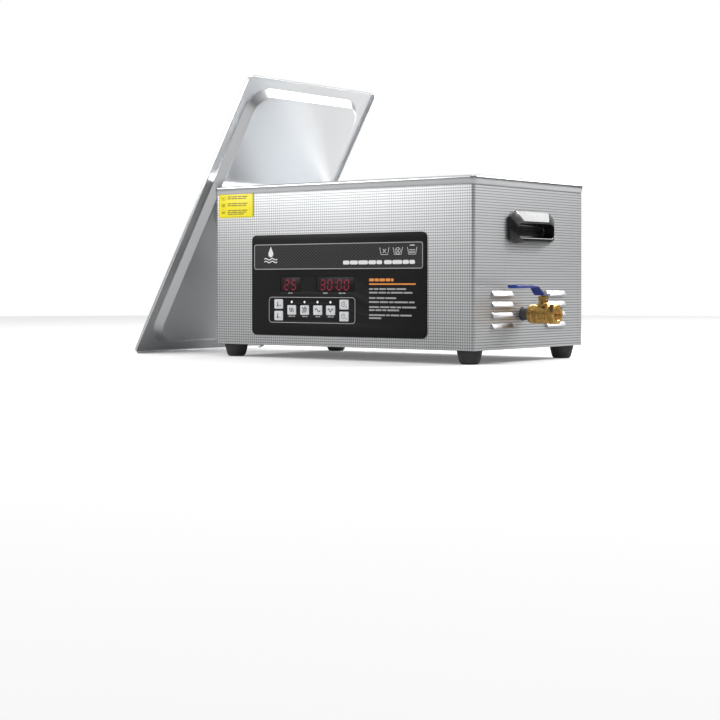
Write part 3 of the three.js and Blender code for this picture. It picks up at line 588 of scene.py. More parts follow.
def louvres():
    """Pressed hoods over the side vents: a sloping top with closed three-cornered ends."""
    length, w, lip = LOUVRE["len"], CASE["w"], CASE["w"] + LOUVRE["out"]
    hoods, hollows = [], []
    for y in LOUVRE["cols"]:
        for top in LOUVRE["rows"]:
            low = top - LOUVRE["h"]
            outside = [(w - 0.6, top), (w, top), (lip, low + 1.3), (lip, low), (w - 0.6, low)]
            inside = [(w - 2, top - 2), (w, top - 1.4), (lip - 0.9, low + 0.9), (lip - 0.9, low - 1),
                      (w - 2, low - 1)]
            hoods.append(prism("y", outside, y, y + length))
            hollows.append(prism("y", inside, y + 0.9, y + length - 0.9))
    obj = raw("side_louvres", *merged(*hoods))
    combine(obj, raw("hollows", *merged(*hollows)), "DIFFERENCE")
    dress(obj, PRESSED, nodes=["case_wrap"], bevel=0.25)


def rear_panel():
    w, d, fold, start = CASE["w"], CASE["d"], CASE["fold"], CASE["seam"] + 0.3
    sheet = linen_sheet("rear_sheet", [(w, start, 1, 0), (w, d - fold, 1, 0), (w - fold, d, 0, 1),
                                       (fold, d, 0, 1), (0, d - fold, -1, 0), (0, start, -1, 0)])
    holes = [rod("y", (FAN["x"], 0, FAN["z"]), FAN["hole"], d - 3, d + 1, 48)]
    for part in (INLET, SWITCH):
        x, half_w, half_h = part["x"], part["half_w"], part["half_h"]
        holes.append(box(x - half_w, x + half_w, d - 3, d + 1, SOCKET_Z - half_h, SOCKET_Z + half_h))
    combine(sheet, raw("holes", *merged(*holes)), "DIFFERENCE")
    dress(sheet, LINEN_FRONT_GROOVE_SHADED, nodes=["rear_panel"], smooth=60)
    side_groove_shade(sheet)
    head = [(0, -0.5), (2.6, -0.5), (2.9, 0.1), (2.3, 0.8), (1.2, 1.15), (0, 1.25)]
    rivets = [turned("y", (x, d, z), head, 20) for z in RIVET_HEIGHTS for x in (9, w - 9)]
    piece("rear_rivets", *merged(*rivets), PRESSED, slot="linen_steel")


def feet():
    pad = rounded([(0, -0.1), (19.5, -0.1), (19.5, -2.4), (15.6, -17.5), (12.6, -21), (6.5, -21), (6, -12),
                   (0, -12)], [0, 0.5, 1.2, 2.2, 1.4, 0.8, 0.8, 0])
    screw = rounded([(0, -11.9), (4.6, -11.9), (4.6, -14.2), (0, -15)], [0, 0, 1.2, 0])
    for name, (x, y) in FEET.items():
        piece(name + "_pad", *turned("z", (x, y, 0), pad), RUBBER, nodes=[name], slot="rubber")
        piece(name + "_screw", *turned("z", (x, y, 0), screw, 28), ZINC, slot="zinc_steel")


# ---- carrying handles ----
def on_wall(side, out, loop):
    """Stands (y, z) points on the right wall, side 1, or the left one, side -1."""
    x = (CASE["w"] if side > 0 else 0) + side * out
    return [(x, y, z) for y, z in loop]


def octagon(side, out, half_w, z0, z1):
    y, top = HANDLE["y"], HANDLE["chamfer"]
    wide, low, foot = top * 1.6, 6, 14
    points = [(-half_w, z0 + low), (foot - half_w, z0), (half_w - foot, z0), (half_w, z0 + low),
              (half_w, z1 - top), (half_w - wide, z1), (wide - half_w, z1), (-half_w, z1 - top)]
    return on_wall(side, out, [(y + a, z) for a, z in points])


def pocket_shape(grow, steps=8):
    y, reach = HANDLE["y"], POCKET["half_w"] + grow
    r = max(0.6, POCKET["r"] + grow)
    return round_box(y - reach, y + reach, POCKET["z0"] - grow, POCKET["z1"] + grow, r, steps)


def handle(name, side):
    low, high = HANDLE["z"] - HANDLE["half_h"], HANDLE["z"] + HANDLE["half_h"]
    half_w, proud, depth = HANDLE["half_w"], HANDLE["proud"], HANDLE["depth"]
    bezel = raw(name + "_bezel", *loft([
        octagon(side, 0.3, half_w, low, high),
        octagon(side, HANDLE["edge"], half_w, low, high),
        octagon(side, proud, half_w - 12, low + 2, high - 16)]))
    round_edges(bezel, 0.9, 3, 12)
    cup = raw("cup", *loft([on_wall(side, out, pocket_shape(POCKET["wall"])) for out in (-depth, 2)]))
    combine(bezel, cup, "UNION")
    flare, foot = 2.2, 3.0
    levels = [(proud + 2, flare)]
    levels += [(proud - flare + flare * math.cos(a), flare * (1 - math.sin(a))) for a in quarter(6)]
    levels += [(1.5 - depth + foot * (1 - math.sin(a)), -foot * (1 - math.cos(a))) for a in quarter(5)]
    pocket = raw("pocket", *loft([on_wall(side, out, pocket_shape(grow)) for out, grow in levels]))
    combine(bezel, pocket, "DIFFERENCE")
    dress(bezel, BLACK_GLOSS, nodes=[name], smooth=26)


# ---- control panel ----
def layer(face, low, high):
    """The back and front of print, along Y, from low to high above a face at Y."""
    return face - low, face - high


def patch(ink, points):
    """A thin raised shape from (x, z) points. ink is its back and its front along Y."""
    return loft([[(u, y, v) for u, v in points] for y in ink])


def stroke(ink, points, width, closed=False):
    """A thin raised line that follows (x, z) points."""
    count = len(points)
    vertices = []
    for i, point in enumerate(points):
        here = Vector(point)
        along = Vector((0, 0))
        if closed or i > 0:
            along += heading(Vector(points[i - 1]), here)
        if closed or i < count - 1:
            along += heading(here, Vector(points[(i + 1) % count]))
        along.normalize()
        across = Vector((-along.y, along.x)) * width / 2
        left, right = here + across, here - across
        for p, y in ((left, ink[0]), (left, ink[1]), (right, ink[1]), (right, ink[0])):
            vertices.append((p.x, y, p.y))
    faces = []
    for i in range(count if closed else count - 1):
        a, b = 4 * i, 4 * ((i + 1) % count)
        for k in range(4):
            faces.append([a + k, a + (k + 1) % 4, b + (k + 1) % 4, b + k])
    if not closed:
        faces.append([3, 2, 1, 0])
        faces.append([4 * count - 4 + k for k in range(4)])
    return vertices, faces


def heading(a, b):
    step = b - a
    return step.normalized() if step.length > 1e-9 else Vector((0, 0))


def bar(ink, u0, u1, v0, v1, r):
    return patch(ink, round_box(u0, u1, v0, v1, r, 2))


def disc(ink, u, v, r, steps=20):
    return patch(ink, [(u + a, v + b) for a, b in circle(r, steps)])


def arc(u, v, r, start, end, steps=14):
    angles = [math.radians(start + (end - start) * k / steps) for k in range(steps + 1)]
    return [(u + r * math.cos(angle), v + r * math.sin(angle)) for angle in angles]


def words(ink, u, v, height, lengths, gap=None):
    """Stands in for a line of print: plain bars with word spaces, and no letters."""
    gap = height * 0.55 if gap is None else gap
    parts = []
    for length in lengths:
        parts.append(bar(ink, u, u + length, v - height / 2, v + height / 2, height * 0.35))
        u += length + gap
    return parts


def filled_with_holes(name, outline, holes, y0, y1, bevel):
    """A plate that faces the front, filled between its outline and its holes."""
    curve = bpy.data.curves.new(name, "CURVE")
    curve.dimensions = "2D"
    curve.fill_mode = "BOTH"
    curve.extrude = ((y1 - y0) / 2 - bevel) * MM
    curve.bevel_depth = bevel * MM
    curve.bevel_resolution = 2
    curve.offset = -bevel * MM
    for loop in [outline, *holes]:
        spline = curve.splines.new("POLY")
        spline.points.add(len(loop) - 1)
        for point, (x, z) in zip(spline.points, loop):
            point.co = (x * MM, z * MM, 0, 1)
        spline.use_cyclic_u = True
    source = added(name, curve)
    bpy.context.view_layer.update()
    mesh = bpy.data.meshes.new_from_object(source.evaluated_get(bpy.context.evaluated_depsgraph_get()))
    bpy.data.objects.remove(source)
    middle = CORNER.y + (y0 + y1) / 2 * MM
    mesh.transform(Matrix(((1, 0, 0, CORNER.x), (0, 0, -1, middle), (0, 1, 0, CORNER.z), (0, 0, 0, 1))))
    return added(name, mesh)


def key_outline(x, z, grow, r):
    half_w, half_h = KEY["w"] / 2 + grow, KEY["h"] / 2 + grow
    return round_box(x - half_w, x + half_w, z - half_h, z + half_h, r, 5)


def control_panel():
    outline = round_box(PANEL["x0"], PANEL["x1"], PANEL["z0"], PANEL["z1"], PANEL["r"], 10)
    gap = 0.3
    holes = [key_outline(x, z, gap, KEY["r"] + gap) for x, z in KEYS.values()]
    holes += [round_box(*window, 0.8, 3) for window in WINDOWS.values()]
    holes += [arc(x, LIGHT_Z, 2.15, 0, 345, 23) for x in LIGHTS]
    plate = filled_with_holes("panel_plate", outline, holes, PANEL["y0"], PANEL["y1"], 0.25)
    dress(plate, FILM, nodes=["control_panel"], smooth=30)
    band = patch(layer(PANEL["y0"], -0.1, 0.05), round_box(90.3, 431.7, 125.3, 164.7, 3.4))
    piece("header_band", *band, HEADER, slot="panel_black")
    frames = [
        stroke(layer(PANEL["y0"], 0, 0.10), round_box(90, 432, 125, 165, 3.6), 1.25, True),
        stroke(layer(PANEL["y0"], -0.05, 0.06), round_box(122, 301, 38, 79, 5.5), 1.1, True),
    ]
    piece("panel_frames", *merged(*frames), INK_GREY, slot="panel_black")


def sine(u, v, length, height, cycles, steps):
    """Points along a wave that starts at (u, v) and runs to the right."""
    turn = cycles * 2 * math.pi / steps
    return [(u + length * k / steps, v + height * math.sin(k * turn)) for k in range(steps + 1)]


def drop_and_wave(ink, u, v, size):
    """The plain mark in the header: a drop over two waves."""
    drop = [(u, v + size * 0.52)] + arc(u, v + size * 0.08, size * 0.19, 25, -205, 16)
    marks = [patch(ink, drop)]
    for row in (-0.22, -0.38):
        line = sine(u - size * 0.5, v + size * row, size, size * 0.045, 2, 20)
        marks.append(stroke(ink, line, size * 0.055))
    return marks


def basin(ink, u, v, size, kind):
    """A generic basin sign: 0 is crossed out, 1 has a cross in a ring and 2 is filled."""
    half = size / 2
    top, foot = v + half * 0.62, v - half * 0.62
    rim = [(u - half, top), (u - half * 0.72, foot), (u + half * 0.72, foot), (u + half, top)]
    parts = [stroke(ink, rim, 0.75)]
    reach = half * 0.34
    if kind < 2:
        for tilt in (reach, -reach):
            parts.append(stroke(ink, [(u - reach, v - tilt), (u + reach, v + tilt)], 0.8))
    if kind == 1:
        parts.append(stroke(ink, arc(u, v, half * 0.55, 0, 348, 18), 0.6, True))
    if kind == 2:
        wide, short = half * 0.62, half * 0.5
        for row in (-0.35, -0.1, 0.15):
            parts.append(bar(ink, u - wide, u + wide, v + half * row - 0.35, v + half * row + 0.35, 0.1))
        parts.append(bar(ink, u - short, u + short, v + half * 0.86, v + half, 0.1))
    return parts


def panel_print():
    ink = layer(PANEL["y0"], 0.02, 0.12)
    white = drop_and_wave(ink, 125.5, 147.5, 28)
    for u, lengths in ((277, (13, 16, 19, 15, 11)), (358.5, (15, 19, 12, 10.5))):
        white += words(ink, u, 134.6, 6.2, lengths, 0.9)
    for kind, u in enumerate((359, 385, 412.5)):
        white += basin(ink, u, 152, 18, kind)
    piece("header_marks", *merged(*white), INK_WHITE, slot="panel_black")
    ink = layer(PANEL["y0"], -0.05, 0.05)
    grey = []
    for u, lengths in ((163.5, (4, 3.4)), (236, (9.5,)), (268, (7, 6))):
        grey += words(ink, u, 86, 1.9, lengths)
    for x, length in zip((170.5, 197.8, 225.1, 251.6), (14, 11, 9, 12)):
        grey += words(ink, x - length / 2, 48.2, 1.9, (length * 0.55, length * 0.38))
    rows = ((92.8, (8, 9, 13, 17, 19)), (87.1, (17, 15, 6, 23, 17)), (78.7, (13, 16, 21)),
            (72.4, (20, 16, 9, 26, 11)), (64.5, (20, 18, 11, 9, 27)), (59.8, (11, 12, 8, 23)),
            (52.0, (32, 7, 17, 22)), (47.3, (24,)))
    for v, lengths in rows:
        grey += words(ink, 329, v, 2.5, lengths, 1.5)
    piece("panel_print", *merged(*grey), INK_GREY, slot="panel_black")
    orange = words(ink, 329, 107, 4.6, (10, 8.5, 11, 9.5, 5.5), 0.9)
    orange.append(bar(ink, 329, 419, 99.3, 101.7, 0.3))
    piece("panel_heading", *merged(*orange), INK_ORANGE, slot="panel_black")


SEGMENTS = {"a": ((0, 2), (1, 2)), "b": ((1, 2), (1, 1)), "c": ((1, 1), (1, 0)), "d": ((0, 0), (1, 0)),
            "e": ((0, 1), (0, 0)), "f": ((0, 2), (0, 1)), "g": ((0, 1), (1, 1))}
DIGITS = {"0": "abcdef", "2": "abged", "3": "abgcd", "5": "afgcd"}


def digits():
    """Seven-segment figures behind the red filters: lit bars and faint unlit ones, which get a painted glow.
    """
    face = PANEL["y0"] + DIGIT["back"]
    ink = layer(face, -0.05, 0.06)
    lean, z = DIGIT["lean"], DIGIT["z"]
    lit, unlit = [], []
    for u0, figures in ((154.5, "25"), (230, "30"), (264, "00")):
        for k, figure in enumerate(figures):
            for name, corners in SEGMENTS.items():
                ends = []
                for a, b in corners:
                    v = b * DIGIT["h"] / 2
                    ends.append(Vector((u0 + k * DIGIT["step"] + a * DIGIT["w"] + v * lean, z + v)))
                along = (ends[1] - ends[0]).normalized() * 0.85
                across = Vector((-along.y, along.x)) * 1.25
                p, q = ends[0] + along, ends[1] - along
                shape = [p, p + along + across, q - along + across, q, q - along - across, p + along - across]
                group = lit if name in DIGITS[figure] else unlit
                group.append(patch(ink, [tuple(s) for s in shape]))
    for v in (96, 103):
        lit.append(disc(ink, 260.2 + (v - z) * lean, v, 0.95, 12))
    piece("figures_lit", *merged(*lit), SEGMENT_ON, slot="display_red")
    piece("figures_unlit", *merged(*unlit), SEGMENT_OFF_GLOW, slot="display_red")
    for name, (x0, x1, z0, z1) in WINDOWS.items():
        shape = round_box(x0 + 0.5, x1 - 0.5, z0 + 0.5, z1 - 0.5, 0.6, 3)
        piece(name + "_filter", *prism("y", shape, face, 5.6), LENS_RED, nodes=[name], slot="display_red",
              bevel=0.12)


def indicator_lights():
    y = PANEL["y0"]
    strip_part = box(LIGHTS[0] - 6, LIGHTS[-1] + 6, 1.6, 4, LIGHT_Z - 1.8, LIGHT_Z + 1.8)
    dome = [(0, y - 0.55), (0.8, y - 0.48), (1.5, y - 0.25), (2.0, y + 0.15), (2.0, 1.7), (0, 1.7)]
    domes = [turned("y", (x, 0, LIGHT_Z), dome, 24) for x in LIGHTS]
    piece("indicator_lenses", *merged(strip_part, *domes), LENS_WHITE, nodes=["indicator_strip"],
          slot="lens_white")


# ---- keys ----
def thermometer(ink, u, v):
    return [stroke(ink, [(u, v + 4), (u, v - 1.6)], 1.5), disc(ink, u, v - 2.6, 1.7)]


def clock(ink, u, v):
    return [stroke(ink, arc(u, v, 3.7, 0, 345, 23), 0.7, True),
            stroke(ink, [(u, v + 2.4), (u, v), (u + 1.9, v)], 0.7)]


def sign(ink, u, v, plus):
    parts = [stroke(ink, [(u - 1.5, v), (u + 1.5, v)], 0.8)]
    if plus:
        parts.append(stroke(ink, [(u, v - 1.5), (u, v + 1.5)], 0.8))
    return parts


def key_mark(name, ink, u, v):
    plus = name.endswith("up")
    if "temp" in name:
        return thermometer(ink, u - 1.6, v) + sign(ink, u + 3.4, v - 2.6, plus)
    if "time" in name:
        return clock(ink, u - 1.2, v + 0.3) + sign(ink, u + 5, v - 3.6, plus)
    if name == "key_heat":
        lines = []
        for shift in (-3.2, 0, 3.2):
            points = [(u + shift + b, v + a) for a, b in sine(-3.6, 0, 7.2, 0.8, 1, 12)]
            lines.append(stroke(ink, points, 1.5))
        return lines
    if name == "key_degas":
        spots = ((-3, -2.2, 1.7), (1.6, -2.6, 1.3), (-1, 1.6, 1.4), (3.2, 1.2, 1.8), (-4, 3.4, 0.9),
                 (1.2, 4.2, 0.8))
        return [stroke(ink, arc(u + a, v + b, r, 0, 336, 14), 1.0, True) for a, b, r in spots]
    cycles = 1 if name == "key_wave" else 1.5
    return [stroke(ink, sine(u - 5.2, v, 10.4, 2.6, cycles, 24), 1.35)]


def keys():
    front = KEY["front"]
    steps = ((-0.75, front), (-0.4, front + 0.08), (-0.12, front + 0.3), (0, front + 0.7), (0, 0.2),
             (1, 0.25), (1, 1))
    for name, (x, z) in KEYS.items():
        cap = loft([[(a, y, b) for a, b in key_outline(x, z, grow, KEY["r"])] for grow, y in steps])
        stem = rod("y", (x, 0, z), 3, 0.9, 3.3, 20)
        body = name + "_cap"
        piece(name + "_button", *merged(cap, stem), KEY_GREY, body, nodes=[name], slot="key_grey", smooth=40)
        marks = key_mark(name, layer(front, -0.05, 0.07), x, z)
        piece(name + "_mark", *merged(*marks), INK_DARK, body, slot="key_grey")


def label():
    x0, x1, z0, z1, inset = LABEL["x0"], LABEL["x1"], LABEL["z0"], LABEL["z1"], 1.6
    plate = prism("y", round_box(x0, x1, z0, z1, LABEL["r"], 8), LABEL["front"], LABEL["back"])
    piece("label_film", *plate, YELLOW, nodes=["label_plate"], slot="label_yellow", bevel=0.08)
    ink = layer(LABEL["front"], -0.03, 0.05)
    border = round_box(x0 + inset, x1 - inset, z0 + inset, z1 - inset, 2.4)
    marks = [stroke(ink, border, 0.5, True)]
    for kind, v in enumerate((244.5, 233, 221.5)):
        marks += basin(ink, 18.5, v, 9, kind)
        for row, lengths in zip((2.2, -1.0, -4.0), ((9, 12, 7, 13), (7, 14, 9, 8), (12, 9, 13))):
            if kind == 2 or row > -4:
                marks += words(ink, 28, v + row, 1.6, lengths, 1.2)
    piece("label_print", *merged(*marks), YELLOW_DARK, slot="label_yellow")


# ---- drain valve ----
def hex_nut(axis, centre, flats, s0, s1, bore=None):
    """A hexagon with turned chamfers at its ends."""
    r, face = flats / math.sqrt(3), flats / 2 * 0.96
    loops = [[AXES[axis](centre, a, b, s) for a, b in circle(r, 6)] for s in (s0, s1)]
    obj = raw("nut", *loft(loops))
    low, high = s0 + (r - face) * 0.6, s1 - (r - face) * 0.6
    cone = [(0, s0), (face, s0), (r + 0.1, low), (r + 0.1, high), (face, s1), (0, s1)]
    combine(obj, raw("chamfer", *turned(axis, centre, cone, 60)), "INTERSECT")
    if bore:
        combine(obj, raw("bore", *rod(axis, centre, bore, s0 - 1, s1 + 1, 40)), "DIFFERENCE")
    return obj


def drain_valve():
    axis = (0, VALVE["y"], VALVE["z"])
    stem = (VALVE["stem"], VALVE["y"], 0)
    x0, x1, split, sx = VALVE["x0"], VALVE["x1"], VALVE["split"], VALVE["stem"]
    seat = 13.8
    shell = rounded([
        (10.4, x0), (13.6, x0), (14.6, x0 + 1.2), (14.6, x0 + 5.0), (14.6, x0 + 6.0), (15.5, x0 + 6.4),
        (15.5, x0 + 8.2), (14.7, x0 + 8.8), (14.7, sx - 6), (15.5, sx - 5.4), (15.5, sx - 3.6),
        (14.9, sx - 3), (14.9, split - 0.1), (13, split - 0.1), (13, sx - seat), (7.5, sx - seat),
        (7.5, x0 + 8), (10.4, x0 + 8)],
        [0, 0.8, 0.8, 0, 0.3, 0.4, 0.4, 0.3, 0.3, 0.4, 0.4, 0.3, 0.5, 0, 0, 0, 0, 0])
    body = raw("valve_shell", *turned("x", axis, shell, 64))
    neck = rounded([(0, 60), (9.4, 60), (9.4, 69.5), (7.8, 72), (7.8, 76), (0, 76)], [0, 0, 0.8, 0.5, 0.6, 0])
    combine(body, raw("neck", *turned("z", stem, neck, 48)), "UNION")
    combine(body, raw("bore", *rod("x", axis, 12.9, sx - seat, split + 1, 48)), "DIFFERENCE")
    combine(body, raw("bore", *rod("z", stem, 4.4, 54, 80, 32)), "DIFFERENCE")
    dress(body, BRASS, nodes=["valve_body"], smooth=30)

    cap = rounded([
        (12.8, split + 0.3), (14.8, split + 0.3), (15.2, split + 1.2), (15.2, split + 3), (13.4, split + 4.3),
        (13.4, x1 - 9), (10, x1 - 9), (7.5, x1 - 10), (7.5, sx + seat), (12.8, sx + seat)],
        [0, 0.5, 0.8, 0.8, 0.8, 0, 0, 0, 0, 0])
    end = raw("valve_outlet", *turned("x", axis, cap, 64))
    combine(end, hex_nut("x", axis, 30, x1 - 11, x1 - 0.8), "UNION")
    crown = rounded([(9, x1 - 3), (14.4, x1 - 3), (14.4, x1), (10.6, x1), (9, x1 - 1.4)], [0, 0, 0.6, 0.3, 0])
    combine(end, raw("crown", *turned("x", axis, crown, 64)), "UNION")
    mouth = [(0, x1 - 10), (9.4, x1 - 10), (9.4, x1 - 1), (10.2, x1 + 1), (0, x1 + 1)]
    combine(end, raw("thread", *turned("x", axis, mouth, 56)), "DIFFERENCE")
    dress(end, BRASS, nodes=["valve_end_cap"], smooth=30)
    threads = []
    for k in range(5):
        s = x1 - 9 + 1.6 * k
        threads.append(turned("x", axis, [(9.6, s - 0.7), (9.0, s), (9.6, s + 0.7)], 56))
    piece("outlet_threads", *merged(*threads), BRASS_MACHINED, slot="brass")

    nut = hex_nut("z", stem, 16, 76.3, 81.8, bore=4.5)
    nut.name = "packing_nut_turned"
    dress(nut, BRASS_MACHINED, nodes=["packing_nut"], smooth=30)
    shaft = rounded([(0, 65.3), (4, 65.3), (4, 82.1), (5, 82.1), (5, 82.6), (4, 82.6), (4, 90.4), (3.2, 91),
                     (0, 91)], [0, 0.3, 0, 0, 0, 0, 0, 0.2, 0])
    piece("valve_spindle", *turned("z", stem, shaft, 36), BRASS_MACHINED, "valve_rotor", ["valve_stem"],
          "brass")
    top = hex_nut("z", stem, 12, 85.9, 90, bore=4.2)
    top.name = "lever_nut_plated"
    dress(top, ZINC, "valve_rotor", ["lever_nut"], smooth=30)


def strip(sections, thickness):
    """A bent strip of sheet: sections are (y, z, half width, slope in degrees)."""
    loops = []
    for y, z, half, slope in sections:
        ny, nz = math.sin(math.radians(slope)), math.cos(math.radians(slope))
        loop = []
        for a, b in round_box(-half, half, 0, thickness, 0.9, 3):
            loop.append((VALVE["stem"] + a, y + ny * b, z + nz * b))
        loops.append(loop)
    return loft(loops)


def valve_lever():
    x, y, low, high = VALVE["stem"], VALVE["y"], 83, 95.5
    sections = [(y + 9, low, 5.2, 0), (y + 8.4, low, 6.6, 0), (y + 7, low, 7.9, 0), (y + 4, low, 9, 0),
                (y - 4, low, 9, 0), (125.6, low, 9, 0), (124.2, 83.2, 9, 12), (123, 84.0, 8.9, 30),
                (111.4, 94.0, 8.2, 38), (109.6, 95.1, 8, 26), (107.8, high, 7.6, 8), (105, high, 7.2, 0),
                (100, high, 6.5, 0), (46, high, 6.5, 0)]
    lever = raw("lever_strip", *strip(sections, 2.6))
    combine(lever, raw("hole", *rod("z", (x, y, 0), 4.2, 80, 90, 32)), "DIFFERENCE")
    dress(lever, BLUE_PAINT, "valve_rotor", ["valve_lever"], smooth=40)
    grip = ((99, 0.62), (98.4, 0.80), (97.2, 0.84), (88, 0.84), (70, 0.90), (58, 1.0), (50, 1.0), (47, 0.90),
            (45.2, 0.76), (44.2, 0.52), (44, 0.3))
    mid_z = high + 1.3
    loops = []
    for along, grow in grip:
        half, tall = 8.7 * grow, 2.9 * (0.2 + 0.8 * grow)
        section = round_box(-half, half, -tall, tall, min(tall * 0.95, half * 0.9), 6)
        loops.append([(x + a, along, mid_z + b) for a, b in section])
    piece("lever_grip", *loft(loops), BLUE_VINYL, "valve_rotor", ["lever_sleeve"], "sleeve_blue", smooth=50)


def drain_fittings():
    centre = (DRAIN_X, VALVE["y"], 0)
    floor = RIM["top"] - TANK["depth"]
    flange = rounded([(6.5, floor - 8), (8.5, floor - 8), (8.5, floor + 0.3), (14, floor + 0.3),
                      (14, floor + 1.6), (12.5, floor + 2.3), (8, floor + 2.3), (6.5, floor + 1.4)],
                     [0, 0, 0, 0, 0.5, 0.5, 0.6, 0])
    down = [(6.5, 54), (8.5, 54), (8.5, floor - 8), (6.5, floor - 8)]
    along = [(6.5, 460), (10, 460), (10, 546), (6.5, 546)]
    parts = [turned("z", centre, flange, 48), turned("z", centre, down, 48),
             turned("x", (0, VALVE["y"], VALVE["z"]), along, 48)]
    # The tube's dark steel is painted shade for the stub in the valve's shadow.
    piece("drain_tube", *merged(*parts), SHADE_DARK_STEEL, nodes=["drain_pipe"], slot="zinc_steel")


# ---- back of the machine ----
def wire(points, radius, sides=10, closed=True):
    """A round wire that follows points in millimetres."""
    loops = []
    count = len(points)
    for i, point in enumerate(points):
        here = Vector(point)
        before = i - 1 if closed else max(i - 1, 0)
        after = (i + 1) % count if closed else min(i + 1, count - 1)
        along = (Vector(points[after]) - Vector(points[before])).normalized()
        a = along.orthogonal().normalized() if abs(along.y) > 0.9 else Vector((0, 1, 0))
        b = along.cross(a).normalized()
        loops.append([tuple(here + (a * c + b * s) * radius) for c, s in circle(1, sides)])
    if closed:
        loops.append(loops[0])
    return loft(loops, ends=not closed)


def fan_guard():
    x, z, mount = FAN["x"], FAN["z"], FAN["mount"]
    y = CASE["d"] + 1.4
    parts = []
    for r in (37, 30, 23, 16):
        parts.append(wire([(x + a, y - 0.1, z + b) for a, b in circle(r, 56)], 0.9))
    for degrees in (45, 135):
        dx, dz = math.cos(math.radians(degrees)) * 48, math.sin(math.radians(degrees)) * 48
        parts.append(wire([(x - dx, y, z - dz), (x, y, z), (x + dx, y, z + dz)], 1.0, closed=False))
    hub = rounded([(0, -0.9), (8, -0.9), (8, 0.9), (0, 0.9)], [0, 0.3, 0.3, 0])
    parts.append(turned("y", (x, y, z), hub, 32))
    boss = rounded([(0, -1), (4, -1), (4, 0.5), (2.6, 0.9), (0, 0.9)], [0, 0.2, 0.4, 0.3, 0])
    for dx in (-mount, mount):
        for dz in (-mount, mount):
            parts.append(turned("y", (x + dx, y, z + dz), boss, 20))
    piece("guard_wires", *merged(*parts), CHROME, nodes=["fan_guard"], slot="zinc_steel")


def fan_rotor():
    x, z, count = FAN["x"], FAN["z"], FAN["blades"]
    y0 = CASE["d"] - CASE["sheet"] - 0.3 - FAN["frame"] + 4
    hub = rounded([(0, y0), (16, y0), (16, y0 + 17), (0, y0 + 17)], [0, 1, 2.2, 0])
    parts = [turned("y", (x, 0, z), hub, 40), rod("y", (x, 0, z), 1.6, y0 - 3.5, y0 + 1, 16)]
    root = 15
    for cos, sin in circle(1, count):
        loops = []
        for step in range(7):
            r = root + (FAN["wheel"] - root) * step / 6
            twist = math.radians(48 + 10 * step / 6)
            half = 8 + step * 0.15
            loop = []
            for a, b in round_box(-half, half, -0.8, 0.8, 0.7, 2):
                bow = b + 1.4 * (1 - (a / 9.2) ** 2)
                across = a * math.cos(twist) - bow * math.sin(twist)
                deep = a * math.sin(twist) + bow * math.cos(twist)
                loop.append((x + r * cos - across * sin, y0 + 8.5 + deep, z + r * sin + across * cos))
            loops.append(loop)
        parts.append(loft(loops))
    piece("fan_impeller", *merged(*parts), BLACK_MOULDED, "fan", ["fan_rotor"], "black_plastic", smooth=40)


def softened(node, material, width, body="machine", smooth=32):
    """Copies a CAD node's shape, merges its flat faces and rounds its edges."""
    obj = added(node + "_moulded", frame["nodes"][node].data.copy())
    bm = bmesh.new()
    bm.from_mesh(obj.data)
    bmesh.ops.remove_doubles(bm, verts=bm.verts, dist=1e-6)
    bmesh.ops.dissolve_limit(bm, angle_limit=math.radians(1), verts=bm.verts, edges=bm.edges)
    bm.to_mesh(obj.data)
    bm.free()
    return dress(obj, material, body, [node], smooth, bevel=width)


def rocker_marks():
    """Plain off and on signs on the rocker's two slopes."""
    x, y = SWITCH["x"], CASE["d"] + 3.9
    ring = [(x + a, y - 0.55, 56.6 + b) for a, b in circle(1.6, 24)]
    stick = [(x, y - 0.15, 61.8), (x, y + 0.25, 64.8)]
    signs = merged(wire(ring, 0.22, 6), wire(stick, 0.25, 6, closed=False))
    piece("rocker_signs", *signs, INK_WHITE, "rocker", slot="rocker_plastic")


# ---- lid ----
def leaning(point):
    """Moves a point drawn on the flat lid, underside down, to where the lid leans."""
    x, y, z = point
    lean = math.radians(LID["lean"])
    sin, cos = math.sin(lean), math.cos(lean)
    z0 = LID["lip"] * cos - 21
    bead = (RIM["bead"] - RIM["over"], RIM["top"] - RIM["bead"])
    x0 = bead[0] - (RIM["bead"] + LID["drop"] + 0.4 + (bead[1] - z0) * cos) / sin
    return x0 + x * cos - z * sin, LID["front"] + y, z0 + x * sin + z * cos


def leaned(part):
    return [leaning(p) for p in part[0]], part[1]


def lid_profile():
    """(inset, corner radius, height) of the pressing, from its edge to the middle."""
    flange, slope, drop = LID["flange"], LID["slope"], LID["drop"]
    edge, outer, inner = LID["corner"] - 1, LID["corner_out"], LID["corner_in"]
    bends = [(9, 0), (flange, 0), (flange + slope, -drop), (flange + slope + 5, -drop)]
    result = []
    for by, z in rounded(bends, [0, 1.8, 2.2, 0], steps=6):
        r = outer + (inner - outer) * min(1, max(0, (by - flange) / slope))
        if by < flange:
            r = edge + (outer - edge) * (by / flange) ** 0.5
        result.append((by, r, z))
    return result


def lid():
    half = (LID["len"] / 2, LID["wid"] / 2)
    sheet, lip, corner = LID["sheet"], LID["lip"], LID["corner"]

    def ring(by, r, z):
        wider = (LID["side_flange"] - LID["flange"]) * min(1, by / LID["flange"])
        return [leaning(p) for p in level_ring(half, half[0] - by, half[1] - by - wider, r, z, 14)]

    pressing = lid_profile()
    rings = [ring(by, r, z + sheet) for by, r, z in reversed(pressing)]
    bend, inner_bend = 2.0, 1.2
    for a in quarter(5):
        by = bend * (1 - math.sin(a))
        rings.append(ring(by, corner - by, sheet - bend * (1 - math.cos(a))))
    hem = ((0, 0.4), (0.15, 0.1), (0.5, 0), (0.85, 0.1), (sheet, 0.4))
    rings += [ring(by, corner - by, z - lip) for by, z in hem]
    for a in reversed(quarter(4)):
        by = sheet + inner_bend * (1 - math.sin(a))
        rings.append(ring(by, corner - by, -inner_bend * (1 - math.cos(a))))
    rings += [ring(by, r, z) for by, r, z in pressing]
    dress(raw("lid_shell", *loft(rings)), LID_STEEL, "lid", ["lid"], smooth=50)
    softened("lid_handle", BLACK_GLOSS, 1.0, "lid")
    lid_screws(half)


